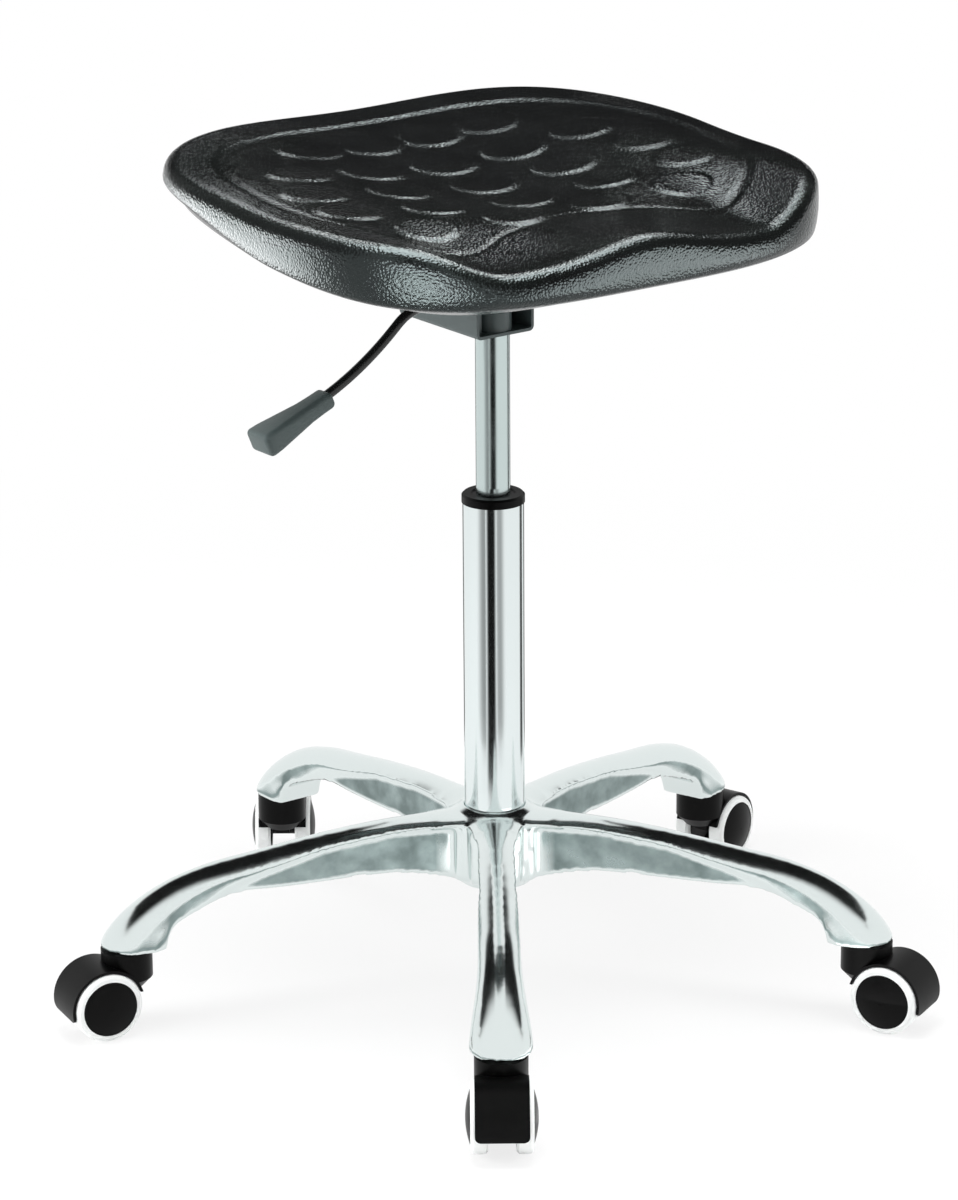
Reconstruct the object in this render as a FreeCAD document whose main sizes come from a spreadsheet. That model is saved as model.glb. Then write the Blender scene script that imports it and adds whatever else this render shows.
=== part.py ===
import FreeCAD, Part
import math
import os
import Sketcher

# Backless five star work stool with a moulded foam seat, a gas lift and twin wheel castors
# Millimetres, Z up, floor at Z 0, lift axis on Z, seat front towards minus Y, lever towards minus X

V = FreeCAD.Vector
doc = FreeCAD.newDocument("work_stool")
sheet = doc.addObject("Spreadsheet::Sheet", "dims")

SIZES = {
    "stem_radius": 317,
    "foot_z": 69.7,
    "foot_width": 50,
    "hub_bottom_z": 88,
    "hub_top_z": 157,
    "hub_radius": 31,
    "arm_width": 34,
    "arm_top_z": 152,
    "web_width": 27,
    "web_wall": 4,
    "stem_dia": 11,
    "tube_dia": 50,
    "tube_wall": 2,
    "tube_bottom_z": 88,
    "tube_top_z": 416,
    "tube_taper": 1.2,
    "tube_floor": 5,
    "collar_dia": 51.6,
    "collar_height": 7.5,
    "bush_length": 85,
    "cylinder_dia": 28,
    "cylinder_wall": 2,
    "cylinder_bottom_z": 295,
    "cylinder_top_z": 579,
    "taper_drop": 0.7,
    "taper_length": 20,
    "rod_dia": 10,
    "rod_top_z": 317,
    "stroke": 130,
    "race_dia": 26,
    "race_height": 2,
    "ball_dia": 4,
    "button_dia": 7,
    "button_out": 5.3,
    "bracket_z": 558,
    "channel_width": 57,
    "channel_height": 40,
    "channel_front": 17.5,
    "channel_length": 105,
    "plate_width": 150,
    "plate_depth": 118,
    "plate_thickness": 3,
    "steel_wall": 2.5,
    "socket_dia": 31,
    "screw_x": 60,
    "screw_y": 44,
    "screw_dia": 6,
    "lever_dia": 8,
    "lever_z": 589,
    "pivot_x": 22,
    "lever_bend_x": 88,
    "handle_root_x": 170,
    "handle_root_z": 527,
    "handle_tip_x": 228,
    "handle_tip_z": 503,
    "handle_width": 30,
    "handle_height": 17,
    "seat_width": 482,
    "seat_depth": 412,
    "seat_pan_z": 673,
    "seat_back_rise": 33,
    "seat_side_rise": 18,
    "seat_front_drop": 12,
    "seat_hump": 14,
    "seat_edge_radius": 12,
    "pan_step": 1.8,
    "board_thickness": 12,
    "caster_trail": 25,
    "wheel_dia": 57,
    "wheel_inner_y": 10.9,
    "wheel_outer_y": 24.4,
    "cap_dia": 46.4,
    "cap_bulge": 3.8,
    "hood_dia": 63,
    "hood_wall": 2.2,
    "hood_width": 42,
    "hood_lip_z": 20,
    "hood_corner": 5,
    "neck_dia": 42,
    "axle_dia": 7,
}
for row, (alias, size) in enumerate(SIZES.items(), start=1):
    sheet.set("A%d" % row, alias)
    sheet.set("B%d" % row, str(size))
    sheet.setAlias("B%d" % row, alias)
doc.recompute()

ARM_ANGLES = [-126, -54, 18, 90, 162]
ARM_NAMES = ["front_right", "front_left", "side_left", "rear", "side_right"]
TRAIL_ANGLES = [-126.0, -65.7, 18.0, 53.3, 170.3]
nodes = []


def num(expression):
    """Value of an expression over the sheet's names."""
    found = sheet.evalExpression(expression)
    return float(getattr(found, "Value", found))


def d(alias):
    return float(sheet.get(alias))


def name_node(obj, label):
    obj.Label = label
    nodes.append(obj)
    return obj


def bind(obj, **sizes):
    for prop, expression in sizes.items():
        obj.setExpression(prop, expression)
    return obj


def dims(expression):
    """Expression with every sheet name written in full."""
    words = expression
    for alias in sorted(SIZES, key=len, reverse=True):
        words = words.replace(alias, "<<%s>>" % alias)
    return words.replace("<<", "dims.").replace(">>", "")


def turned(label, points):
    """Body turned about its own Z from a closed outline of (radius, height) expressions.

    A third entry in a point is the radius of the arc that leads from it to the next one.
    """
    body = doc.addObject("PartDesign::Body", label)
    plane = [f for f in body.Origin.OriginFeatures if f.Role == "XZ_Plane"][0]
    sketch = body.newObject("Sketcher::SketchObject", label + "_outline")
    sketch.AttachmentSupport = (plane, [""])
    sketch.MapMode = "FlatFace"
    spots = [V(num(dims(p[0])), num(dims(p[1])), 0) for p in points]
    count = len(points)
    for i, p in enumerate(points):
        a = spots[i]
        b = spots[(i + 1) % count]
        if len(p) > 2:
            radius = num(dims(p[2]))
            chord = b - a
            side = V(chord.y, -chord.x, 0).normalize()
            sag = radius - math.sqrt(max(radius ** 2 - (chord.Length / 2) ** 2, 0))
            sketch.addGeometry(Part.Arc(a, (a + b) * 0.5 + side * sag, b), False)
        else:
            sketch.addGeometry(Part.LineSegment(a, b), False)
    ends = []
    for i in range(count):
        g = sketch.Geometry[i]
        start = 1 if (g.StartPoint - spots[i]).Length < 1e-6 else 2
        ends.append((start, 3 - start))
    for i in range(count):
        j = (i + 1) % count
        sketch.addConstraint(Sketcher.Constraint("Coincident", i, ends[i][1], j, ends[j][0]))
    for i, p in enumerate(points):
        for kind, axis, text, size in (("DistanceX", -2, p[0], spots[i].x), ("DistanceY", -1, p[1], spots[i].y)):
            if abs(size) < 1e-9:
                sketch.addConstraint(Sketcher.Constraint("PointOnObject", i, ends[i][0], axis))
            else:
                at = sketch.addConstraint(Sketcher.Constraint(kind, -1, 1, i, ends[i][0], size))
                sketch.setExpression("Constraints[%d]" % at, dims(text))
        if len(p) > 2:
            at = sketch.addConstraint(Sketcher.Constraint("Radius", i, num(dims(p[2]))))
            sketch.setExpression("Constraints[%d]" % at, dims(p[2]))
    spin = body.newObject("PartDesign::Revolution", label + "_turn")
    spin.Profile = sketch
    spin.ReferenceAxis = (sketch, ["V_Axis"])
    spin.Angle = 360
    body.Tip = spin
    sketch.Visibility = False
    doc.recompute()
    return name_node(body, label)


def solid(kind, placement=None, **sizes):
    obj = doc.addObject("Part::" + kind, kind.lower())
    bind(obj, **{k: dims(v) for k, v in sizes.items()})
    if placement is not None:
        obj.Placement = placement
    return obj


def block(x, y, z, length, width, height):
    """Box given by its low corner and its sizes, all as expressions."""
    obj = solid("Box", Length=length, Width=width, Height=height)
    bind(obj, **{"Placement.Base.x": dims(x), "Placement.Base.y": dims(y), "Placement.Base.z": dims(z)})
    return obj


def post(x, y, z, radius, height):
    obj = solid("Cylinder", Radius=radius, Height=height)
    bind(obj, **{"Placement.Base.x": dims(x), "Placement.Base.y": dims(y), "Placement.Base.z": dims(z)})
    return obj


def joined(parts):
    obj = doc.addObject("Part::MultiFuse", "joined")
    obj.Shapes = parts
    return obj


def less(body, tools):
    obj = doc.addObject("Part::Cut", "less")
    obj.Base = body
    obj.Tool = tools[0] if len(tools) == 1 else joined(tools)
    return obj


def made(label, shape, placement=None):
    obj = doc.addObject("Part::Feature", label)
    obj.Shape = shape
    if placement is not None:
        obj.Placement = placement
    return name_node(obj, label)


# Star base, one arm lofted through its sections and repeated about the hub

def arm_section(foot, top, wide, narrow, crown):
    """Closed outline across an arm: flat underside, upright sides and a crowned top."""
    along = (top - foot).normalize()
    side = V(0, 1, 0)
    height = (top - foot).Length
    low_l = foot - side * (narrow / 2)
    low_r = foot + side * (narrow / 2)
    high_r = foot + along * (height - crown) + side * (wide / 2)
    high_l = foot + along * (height - crown) - side * (wide / 2)
    edges = [
        Part.LineSegment(low_l, low_r).toShape(),
        Part.LineSegment(low_r, high_r).toShape(),
        Part.Arc(high_r, top, high_l).toShape(),
        Part.LineSegment(high_l, low_l).toShape(),
    ]
    return Part.Wire(edges)


def plate_between(points, low, high):
    """Solid between two Y planes from an outline of (radius, height) points."""
    corners = [V(x, low, z) for x, z in points]
    wire = Part.makePolygon(corners + corners[:1])
    return Part.Face(wire).extrude(V(0, high - low, 0))


def star_base():
    reach = d("stem_radius")
    top = d("arm_top_z")
    bottom = d("hub_bottom_z")
    foot = d("foot_z")
    wide = d("arm_width")
    bell = d("foot_width")
    web = d("web_width") / 2
    wall = d("web_wall")
    sections = [
        (V(14, 0, bottom + 4), V(14, 0, top + 2), wide * 1.62, wide * 1.5, 5),
        (V(36, 0, bottom + 8), V(36, 0, top), wide * 1.30, wide * 1.2, 5),
        (V(68, 0, bottom + 16), V(68, 0, top), wide * 1.08, wide, 6),
        (V(reach * 0.44, 0, top - 43), V(reach * 0.44, 0, top - 4), wide, wide * 0.9, 8),
        (V(reach * 0.64, 0, top - 44), V(reach * 0.64, 0, top - 13), wide, wide * 0.9, 11),
        (V(reach * 0.80, 0, top - 52), V(reach * 0.83, 0, top - 24), wide * 1.04, wide * 0.94, 14),
        (V(reach * 0.876, 0, top - 61), V(reach * 0.958, 0, top - 42), wide * 1.22, wide * 1.14, 17),
        (V(reach - 31, 0, foot + 10), V(reach + 17, 0, foot + 12), bell * 0.97, bell * 0.92, 22),
        (V(reach - 29, 0, foot), V(reach + 21, 0, foot), bell, bell * 0.96, 24),
    ]
    arm = Part.makeLoft([arm_section(*s) for s in sections], True, False)
    # Cast web between the cap's lower edge and the underside, set back on both sides
    recess = [
        (40, top - 8), (90, top - 6), (reach * 0.48, top - 13), (reach * 0.63, top - 26),
        (reach * 0.74, top - 40), (reach * 0.815, top - 54), (reach * 0.80, foot), (40, foot),
    ]
    arm = arm.cut(plate_between(recess, web, bell)).cut(plate_between(recess, -bell, -web))
    # The set-back runs on to the foot and fades out on its flanks
    start = reach * 0.79
    flank = [
        (start, top - 50), (reach * 0.815, top - 54), (reach * 0.885, foot + 20),
        (reach * 0.94, foot - 1), (start, foot - 1),
    ]
    lean = math.degrees(math.atan2(bell / 2 - 2 - web, reach * 0.15))
    outside = Part.makeBox(reach * 0.5, bell, top, V(-reach * 0.15, 0, 0))
    outside.rotate(V(0, 0, 0), V(0, 0, 1), lean)
    outside.translate(V(start, web, 0))
    pocket = plate_between(flank, 0, bell).common(outside)
    arm = arm.cut(pocket).cut(pocket.mirror(V(0, 0, 0), V(0, 1, 0)))
    # Open channel under the arm with two cross ribs left standing
    inner = web - wall
    bays = [(50, 104), (108, 168), (172, reach * 0.74)]
    for near, far in bays:
        drop_near = top - 11 - 0.0009 * max(near - 60, 0) ** 2
        drop_far = top - 11 - 0.0009 * max(far - 60, 0) ** 2
        bay = plate_between([(near, foot), (near, drop_near), (far, drop_far), (far, foot)], -inner, inner)
        arm = arm.cut(bay)
    # Hollow foot around the boss that takes the castor stem
    hollow = Part.makeCylinder(bell * 0.37, 13, V(reach, 0, foot - 0.5))
    boss = Part.makeCylinder(d("stem_dia") / 2 + 4.5, 20, V(reach, 0, foot - 1))
    bore = Part.makeCylinder(d("stem_dia") / 2 + 0.06, 26, V(reach, 0, foot - 1))
    arm = arm.cut(hollow.cut(boss)).cut(bore)

    radius = d("hub_radius")
    tube = d("tube_dia") / 2
    high = d("hub_top_z")
    profile = [
        V(tube - d("tube_taper"), 0, bottom), V(radius, 0, bottom), V(radius + 1, 0, bottom + 3),
        V(radius + 1, 0, top - 6), V(tube + 9, 0, top - 1),
    ]
    flare = Part.Arc(profile[-1], V(tube + 4.2, 0, top + 0.6), V(tube + 2, 0, high)).toShape()
    edges = [Part.LineSegment(a, b).toShape() for a, b in zip(profile, profile[1:])]
    rim = [V(tube + 2, 0, high), V(tube, 0, high), profile[0]]
    edges.append(flare)
    edges += [Part.LineSegment(a, b).toShape() for a, b in zip(rim, rim[1:])]
    hub = Part.Face(Part.Wire(edges)).revolve(V(0, 0, 0), V(0, 0, 1), 360)
    cone = Part.makeCone(tube - d("tube_taper"), tube, high - bottom, V(0, 0, bottom))
    above = Part.makeCylinder(tube, 40, V(0, 0, high))
    below = Part.makeCylinder(tube - d("tube_taper"), 40, V(0, 0, bottom - 40))
    shape = hub
    for angle in ARM_ANGLES:
        turned_arm = arm.copy()
        turned_arm.rotate(V(0, 0, 0), V(0, 0, 1), angle)
        shape = shape.fuse(turned_arm)
    shape = shape.cut(cone.fuse([above, below]))
    return shape.removeSplitter()


made("star_base", star_base())

# Gas lift: outer tube, guide bush, swivelling piston rod and the sliding cylinder

turned("outer_tube", [
    ("rod_dia / 2 + 0.4", "tube_bottom_z"),
    ("tube_dia / 2 - tube_taper", "tube_bottom_z"),
    ("tube_dia / 2", "hub_top_z"),
    ("tube_dia / 2", "tube_top_z"),
    ("tube_dia / 2 - tube_wall", "tube_top_z"),
    ("tube_dia / 2 - tube_wall", "hub_top_z"),
    ("tube_dia / 2 - tube_taper - tube_wall", "tube_bottom_z + tube_floor"),
    ("rod_dia / 2 + 0.4", "tube_bottom_z + tube_floor"),
])
turned("guide_bush", [
    ("cylinder_dia / 2 + 0.06", "tube_top_z - bush_length"),
    ("tube_dia / 2 - tube_wall", "tube_top_z - bush_length"),
    ("tube_dia / 2 - tube_wall", "tube_top_z"),
    ("collar_dia / 2", "tube_top_z"),
    ("collar_dia / 2", "tube_top_z + collar_height - 1.6"),
    ("collar_dia / 2 - 1.6", "tube_top_z + collar_height"),
    ("cylinder_dia / 2 + 4.2", "tube_top_z + collar_height"),
    ("cylinder_dia / 2 + 3.4", "tube_top_z + collar_height - 1.4"),
    ("cylinder_dia / 2 + 0.06", "tube_top_z + collar_height - 1.4"),
])
RACE_Z = "(tube_bottom_z + tube_floor)"
turned("bearing_lower_race", [
    ("rod_dia / 2 + 0.3", RACE_Z),
    ("race_dia / 2", RACE_Z),
    ("race_dia / 2", RACE_Z + " + race_height"),
    ("rod_dia / 2 + 0.3", RACE_Z + " + race_height"),
])
ball_z = "(%s + race_height + ball_dia / 2 + 0.02)" % RACE_Z
balls = []
for k in range(10):
    ball = solid("Sphere", Radius="ball_dia / 2")
    turn = "(%d deg)" % (36 * k)
    bind(ball, **{
        "Placement.Base.x": dims("(race_dia + rod_dia) / 4") + " * cos" + turn,
        "Placement.Base.y": dims("(race_dia + rod_dia) / 4") + " * sin" + turn,
        "Placement.Base.z": dims(ball_z),
    })
    balls.append(ball)
ring = doc.addObject("Part::Compound", "balls")
ring.Links = balls
name_node(ring, "bearing_balls")
UPPER_Z = "(%s + race_height + ball_dia + 0.04)" % RACE_Z
turned("bearing_upper_race", [
    ("rod_dia / 2", UPPER_Z),
    ("race_dia / 2", UPPER_Z),
    ("race_dia / 2", UPPER_Z + " + race_height"),
    ("rod_dia / 2", UPPER_Z + " + race_height"),
])
turned("bumper_ring", [
    ("rod_dia / 2", UPPER_Z + " + race_height"),
    ("race_dia / 2", UPPER_Z + " + race_height"),
    ("race_dia / 2 - 1.5", UPPER_Z + " + race_height + 12"),
    ("rod_dia / 2", UPPER_Z + " + race_height + 12"),
])
turned("piston_rod", [
    ("0", "tube_bottom_z - 6"),
    ("rod_dia / 2 - 0.8", "tube_bottom_z - 6"),
    ("rod_dia / 2", "tube_bottom_z - 5.2"),
    ("rod_dia / 2", "tube_bottom_z - 2.2"),
    ("rod_dia / 2 - 1", "tube_bottom_z - 2.2"),
    ("rod_dia / 2 - 1", "tube_bottom_z - 0.8"),
    ("rod_dia / 2", "tube_bottom_z - 0.8"),
    ("rod_dia / 2", "rod_top_z"),
    ("0", "rod_top_z"),
])
turned("retaining_clip", [
    ("rod_dia / 2 - 1", "tube_bottom_z - 2.1"),
    ("rod_dia / 2 + 4", "tube_bottom_z - 2.1"),
    ("rod_dia / 2 + 4", "tube_bottom_z - 0.9"),
    ("rod_dia / 2 - 1", "tube_bottom_z - 0.9"),
])
turned("piston_head", [
    ("0", "rod_top_z"),
    ("cylinder_dia / 2 - cylinder_wall - 0.05", "rod_top_z"),
    ("cylinder_dia / 2 - cylinder_wall - 0.05", "rod_top_z + 12"),
    ("cylinder_dia / 2 - cylinder_wall - 1.5", "rod_top_z + 14"),
    ("0", "rod_top_z + 14"),
])
turned("rod_seal", [
    ("rod_dia / 2 + 0.05", "cylinder_bottom_z + 1.5"),
    ("cylinder_dia / 2 - cylinder_wall", "cylinder_bottom_z + 1.5"),
    ("cylinder_dia / 2 - cylinder_wall", "cylinder_bottom_z + 15"),
    ("rod_dia / 2 + 0.05", "cylinder_bottom_z + 15"),
])
turned("gas_cylinder", [
    ("rod_dia / 2 + 3", "cylinder_bottom_z"),
    ("cylinder_dia / 2 - 1", "cylinder_bottom_z"),
    ("cylinder_dia / 2", "cylinder_bottom_z + 1"),
    ("cylinder_dia / 2", "cylinder_top_z - taper_length"),
    ("cylinder_dia / 2 - taper_drop", "cylinder_top_z"),
    ("button_dia / 2 + 0.06", "cylinder_top_z"),
    ("button_dia / 2 + 0.06", "cylinder_top_z - 16"),
    ("0", "cylinder_top_z - 16"),
    ("0", "cylinder_top_z - 26"),
    ("cylinder_dia / 2 - cylinder_wall", "cylinder_top_z - 30"),
    ("cylinder_dia / 2 - cylinder_wall", "cylinder_bottom_z + 1.5"),
    ("rod_dia / 2 + 3", "cylinder_bottom_z + 1.5"),
])
turned("valve_button", [
    ("0", "cylinder_top_z - 12"),
    ("button_dia / 2", "cylinder_top_z - 12"),
    ("button_dia / 2", "cylinder_top_z + button_out - 0.8"),
    ("button_dia / 2 - 1", "cylinder_top_z + button_out"),
    ("0", "cylinder_top_z + button_out"),
])

# Pressed steel bracket with the tapered socket that sits on the cylinder

turned("taper_socket", [
    ("cylinder_dia / 2", "bracket_z"),
    ("socket_dia / 2", "bracket_z"),
    ("socket_dia / 2", "cylinder_top_z - 3"),
    ("socket_dia / 2 - 2", "cylinder_top_z - 1"),
    ("cylinder_dia / 2 - taper_drop * (taper_length - 1) / taper_length", "cylinder_top_z - 1"),
    ("cylinder_dia / 2", "cylinder_top_z - taper_length"),
])


def rounded(base, radius, pick):
    doc.recompute()
    obj = doc.addObject("Part::Fillet", "rounded")
    obj.Base = base
    size = num(dims(radius))
    obj.Edges = [(n + 1, size, size) for n, e in enumerate(base.Shape.Edges) if pick(e)]
    doc.recompute()
    return obj


def along_y_low(z):
    """Chooser of straight edges along Y at one height."""
    def pick(edge):
        a = edge.Vertexes[0].Point
        b = edge.Vertexes[-1].Point
        flat = abs(a.z - z) < 0.01 and abs(b.z - z) < 0.01
        return flat and abs(a.x - b.x) < 0.01 and abs(a.y - b.y) > 1
    return pick


outer = block("-channel_width / 2", "-channel_front", "bracket_z",
              "channel_width", "channel_length", "channel_height")
outer = rounded(outer, "steel_wall + 2", along_y_low(d("bracket_z")))
inner = block("-channel_width / 2 + steel_wall", "-channel_front - 2", "bracket_z + steel_wall",
              "channel_width - 2 * steel_wall", "channel_length - steel_wall + 2", "channel_height")
inner = rounded(inner, "2 + 0 * steel_wall", along_y_low(d("bracket_z") + d("steel_wall")))
channel = less(outer, [inner])
plate = block("-plate_width / 2", "-plate_depth / 2 + 20", "bracket_z + channel_height",
              "plate_width", "plate_depth", "plate_thickness")
ears = []
for low in ("4.5", "-7.5"):
    ear = block("-channel_width / 2 + steel_wall - 0.2", low, "bracket_z + steel_wall - 0.2",
                "channel_width / 2 - steel_wall + 0.2 - socket_dia / 2 - 0.8",
                "3 + 0 * steel_wall", "lever_z - bracket_z - steel_wall + 6")
    ears.append(ear)
frame = joined([channel, plate] + ears)
holes = [post("0 * screw_x", "0 * screw_y", "bracket_z - 1", "socket_dia / 2", "steel_wall + 1.5")]
for sx in ("-", ""):
    for sy in ("-", ""):
        holes.append(post(sx + "screw_x", sy + "screw_y + 20", "bracket_z + channel_height - 1",
                          "screw_dia / 2 + 0.4", "plate_thickness + 2"))
lever_hole = solid("Cylinder", Radius="lever_dia / 2 + 1.2", Height="8 + 0 * lever_dia")
lever_hole.Placement = FreeCAD.Placement(V(0, 0, 0), FreeCAD.Rotation(V(0, 1, 0), 90))
bind(lever_hole, **{"Placement.Base.x": dims("-channel_width / 2 - 3"), "Placement.Base.z": dims("lever_z")})
pin_hole = solid("Cylinder", Radius="2 + 0 * lever_dia", Height="30 + 0 * lever_dia")
pin_hole.Placement = FreeCAD.Placement(V(0, 15, 0), FreeCAD.Rotation(V(1, 0, 0), 90))
bind(pin_hole, **{"Placement.Base.x": dims("-pivot_x"), "Placement.Base.z": dims("lever_z")})
name_node(less(frame, holes + [lever_hole, pin_hole]), "seat_bracket")

# Lever: bent rod on a cross pin, with a moulded paddle grip

pin = solid("Cylinder", Radius="2 + 0 * lever_dia", Height="15.4 + 0 * lever_dia")
pin.Placement = FreeCAD.Placement(V(0, 7.7, 0), FreeCAD.Rotation(V(1, 0, 0), 90))
bind(pin, **{"Placement.Base.x": dims("-pivot_x"), "Placement.Base.z": dims("lever_z")})
name_node(pin, "lever_pivot_pin")


def lever_rod():
    z = d("lever_z")
    inner = V(6, 0, z)
    bend = V(-d("lever_bend_x"), 0, z)
    root = V(-d("handle_root_x"), 0, d("handle_root_z"))
    tip = V(-d("handle_tip_x"), 0, d("handle_tip_z"))
    end = root + (tip - root) * 0.55

    def corner(before, at, after, radius):
        """Tangent points and middle of the arc that rounds a corner."""
        one = (before - at).normalize()
        two = (after - at).normalize()
        half = math.acos(max(-1, min(1, one.dot(two)))) / 2
        run = radius / math.tan(half)
        middle = at + (one + two).normalize() * (radius / math.sin(half) - radius)
        return at + one * run, middle, at + two * run

    a1, am, a2 = corner(inner, bend, root, 80)
    b1, bm, b2 = corner(bend, root, end, 14)
    path = Part.Wire([
        Part.LineSegment(inner, a1).toShape(), Part.Arc(a1, am, a2).toShape(),
        Part.LineSegment(a2, b1).toShape(), Part.Arc(b1, bm, b2).toShape(),
        Part.LineSegment(b2, end).toShape(),
    ])
    ring = Part.Wire([Part.makeCircle(d("lever_dia") / 2, inner, V(1, 0, 0))])
    rod = path.makePipeShell([ring], True, False)
    hole = Part.makeCylinder(2.06, 20, V(-d("pivot_x"), -10, z), V(0, 1, 0))
    return rod.cut(hole)


def lever_handle(rod):
    """Paddle grip: rounded sections that widen and flatten from the root to the tip."""
    root = V(-d("handle_root_x"), 0, d("handle_root_z"))
    tip = V(-d("handle_tip_x"), 0, d("handle_tip_z"))
    along = (tip - root).normalize()
    up = along.cross(V(0, 1, 0)).normalize()
    if up.z < 0:
        up = up * -1
    wide = d("handle_width")
    tall = d("handle_height")
    length = (tip - root).Length
    wires = []
    for share, w, h in ((-0.18, 0.56, 0.80), (0.1, 0.66, 0.92), (0.4, 0.86, 1.0), (0.8, 1.0, 0.96), (1.0, 0.92, 0.80)):
        centre = root + along * (length * share)
        points = []
        for k in range(16):
            t = 2 * math.pi * k / 16
            c, s = math.cos(t), math.sin(t)
            x = wide / 2 * w * math.copysign(abs(c) ** 0.6, c)
            y = tall / 2 * h * math.copysign(abs(s) ** 0.6, s)
            points.append(centre + V(0, 1, 0) * x + up * y)
        curve = Part.BSplineCurve()
        curve.interpolate(points, PeriodicFlag=True)
        wires.append(Part.Wire([curve.toShape()]))
    grip = Part.makeLoft(wires, True, False)
    return grip.cut(rod)


rod_shape = lever_rod()
made("lever_rod", rod_shape)
made("lever_handle", lever_handle(rod_shape))

# Seat: moulded foam on a board, with screws into captive nuts

SEAT_N = 3.3
RIM_TILT = 0.115


def ease(t):
    t = max(0.0, min(1.0, t))
    return t * t * (3 - 2 * t)


def seat_height(x, y):
    """Height of the sitting surface: raised back and sides, thigh dips either side of a front hump."""
    half_w = d("seat_width") / 2
    half_d = d("seat_depth") / 2
    u = abs(x) / half_w
    v = y / half_d
    back = d("seat_back_rise") * max((v + 0.25) / 1.2, 0) ** 1.6
    fade = (1 - 0.60 * ease((v - 0.1) / 0.8)) * (1 - ease((-v - 0.28) / 0.62))
    side = d("seat_side_rise") * ease(u / 0.85) * fade
    front = ease((-v - 0.28) / 0.62)
    edge = -d("seat_front_drop") + d("seat_hump") * math.exp(-(u / 0.26) ** 2)
    edge += 2.2 * d("seat_front_drop") * ease((u - 0.5) / 0.35)
    return d("seat_pan_z") + back + side + front * edge


def seat_ring(scale, height, tilt):
    """Closed curve of the rounded seat outline at one height, tilted up towards the back."""
    half_w = d("seat_width") / 2
    half_d = d("seat_depth") / 2
    points = []
    for k in range(40):
        t = 2 * math.pi * k / 40
        c, s = math.cos(t), math.sin(t)
        r = scale / ((abs(c) / half_w) ** SEAT_N + (abs(s) / half_d) ** SEAT_N) ** (1 / SEAT_N)
        points.append(V(r * c, r * s, height + tilt * r * s))
    curve = Part.BSplineCurve()
    curve.interpolate(points, PeriodicFlag=True)
    return Part.Wire([curve.toShape()])


def under_surface(drop):
    """Solid below the sitting surface, lowered by a given amount."""
    half_w = d("seat_width") / 2 + 14
    half_d = d("seat_depth") / 2 + 14
    rows = []
    for i in range(17):
        x = half_w * (i / 8.0 - 1)
        rows.append([V(x, half_d * (j / 7.0 - 1), seat_height(x, half_d * (j / 7.0 - 1)) - drop) for j in range(15)])
    sheet_surface = Part.BSplineSurface()
    sheet_surface.interpolate(rows)
    return sheet_surface.toShape().extrude(V(0, 0, -220))


def seat_foam():
    base = d("bracket_z") + d("channel_height") + d("plate_thickness")
    pan = d("seat_pan_z")
    rings = [
        seat_ring(0.43, base, 0),
        seat_ring(0.60, base + 13, 0.04),
        seat_ring(0.80, pan - 35, 0.08),
        seat_ring(0.94, pan - 22, 0.10),
        seat_ring(0.985, pan - 15, 0.11),
        seat_ring(1.0, pan - 4, RIM_TILT),
        seat_ring(0.995, pan + 62, RIM_TILT),
    ]
    shell = Part.makeLoft(rings, True, False)
    foam = shell.common(under_surface(0))
    top = max(foam.Faces, key=lambda f: f.BoundBox.ZMin if f.Area > 30000 else -1)
    foam = foam.makeFillet(d("seat_edge_radius"), top.Edges)
    # Pan set down inside the rolled rim
    column = Part.Face(seat_ring(0.86, base, 0)).extrude(V(0, 0, 220))
    foam = foam.cut(column.cut(under_surface(d("pan_step"))))
    return foam.cut(seat_board_blank())


def seat_board_blank():
    base = d("bracket_z") + d("channel_height") + d("plate_thickness")
    return Part.Face(seat_ring(0.41, base, 0)).extrude(V(0, 0, d("board_thickness")))


made("seat_foam", seat_foam())


def screw_spots():
    return [(sx * d("screw_x"), sy * d("screw_y") + 20) for sx in (-1, 1) for sy in (-1, 1)]


def seat_board():
    base = d("bracket_z") + d("channel_height") + d("plate_thickness")
    thick = d("board_thickness")
    radius = d("screw_dia") / 2
    board = seat_board_blank()
    for x, y in screw_spots():
        board = board.cut(Part.makeCylinder(radius + 1.2, thick, V(x, y, base)))
        board = board.cut(Part.makeCylinder(radius + 6, 1.6, V(x, y, base + thick - 1.6)))
    return board


made("seat_board", seat_board())


def captive_nuts():
    top = d("bracket_z") + d("channel_height") + d("plate_thickness") + d("board_thickness")
    radius = d("screw_dia") / 2
    nuts = []
    for x, y in screw_spots():
        nut = Part.makeCylinder(radius + 6, 1.6, V(x, y, top - 1.6))
        nut = nut.fuse(Part.makeCylinder(radius + 1.2, 9.5, V(x, y, top - 10.5)))
        nuts.append(nut.cut(Part.makeCylinder(radius + 0.05, 20, V(x, y, top - 15))).removeSplitter())
    return Part.makeCompound(nuts)


made("captive_nuts", captive_nuts())


def seat_screws():
    under = d("bracket_z") + d("channel_height")
    radius = d("screw_dia") / 2
    length = d("plate_thickness") + d("board_thickness") - 1
    screws = []
    for x, y in screw_spots():
        head = Part.makeCylinder(radius * 2.1, 3.8, V(x, y, under - 3.8))
        rim = [e for e in head.Edges if abs(e.CenterOfMass.z - under + 3.8) < 0.01 and len(e.Vertexes) == 1]
        head = head.makeFillet(1.4, rim)
        drive = Part.makePolygon([V(x + 2.4 * math.cos(math.radians(60 * k)), y + 2.4 * math.sin(math.radians(60 * k)),
                                    under - 4) for k in range(7)])
        head = head.cut(Part.Face(drive).extrude(V(0, 0, 2.4)))
        screws.append(head.fuse(Part.makeCylinder(radius, length, V(x, y, under))).removeSplitter())
    return Part.makeCompound(screws)


made("seat_screws", seat_screws())

# Castors: swivelling stem and hood, axle, and two wheels with domed caps


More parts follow.
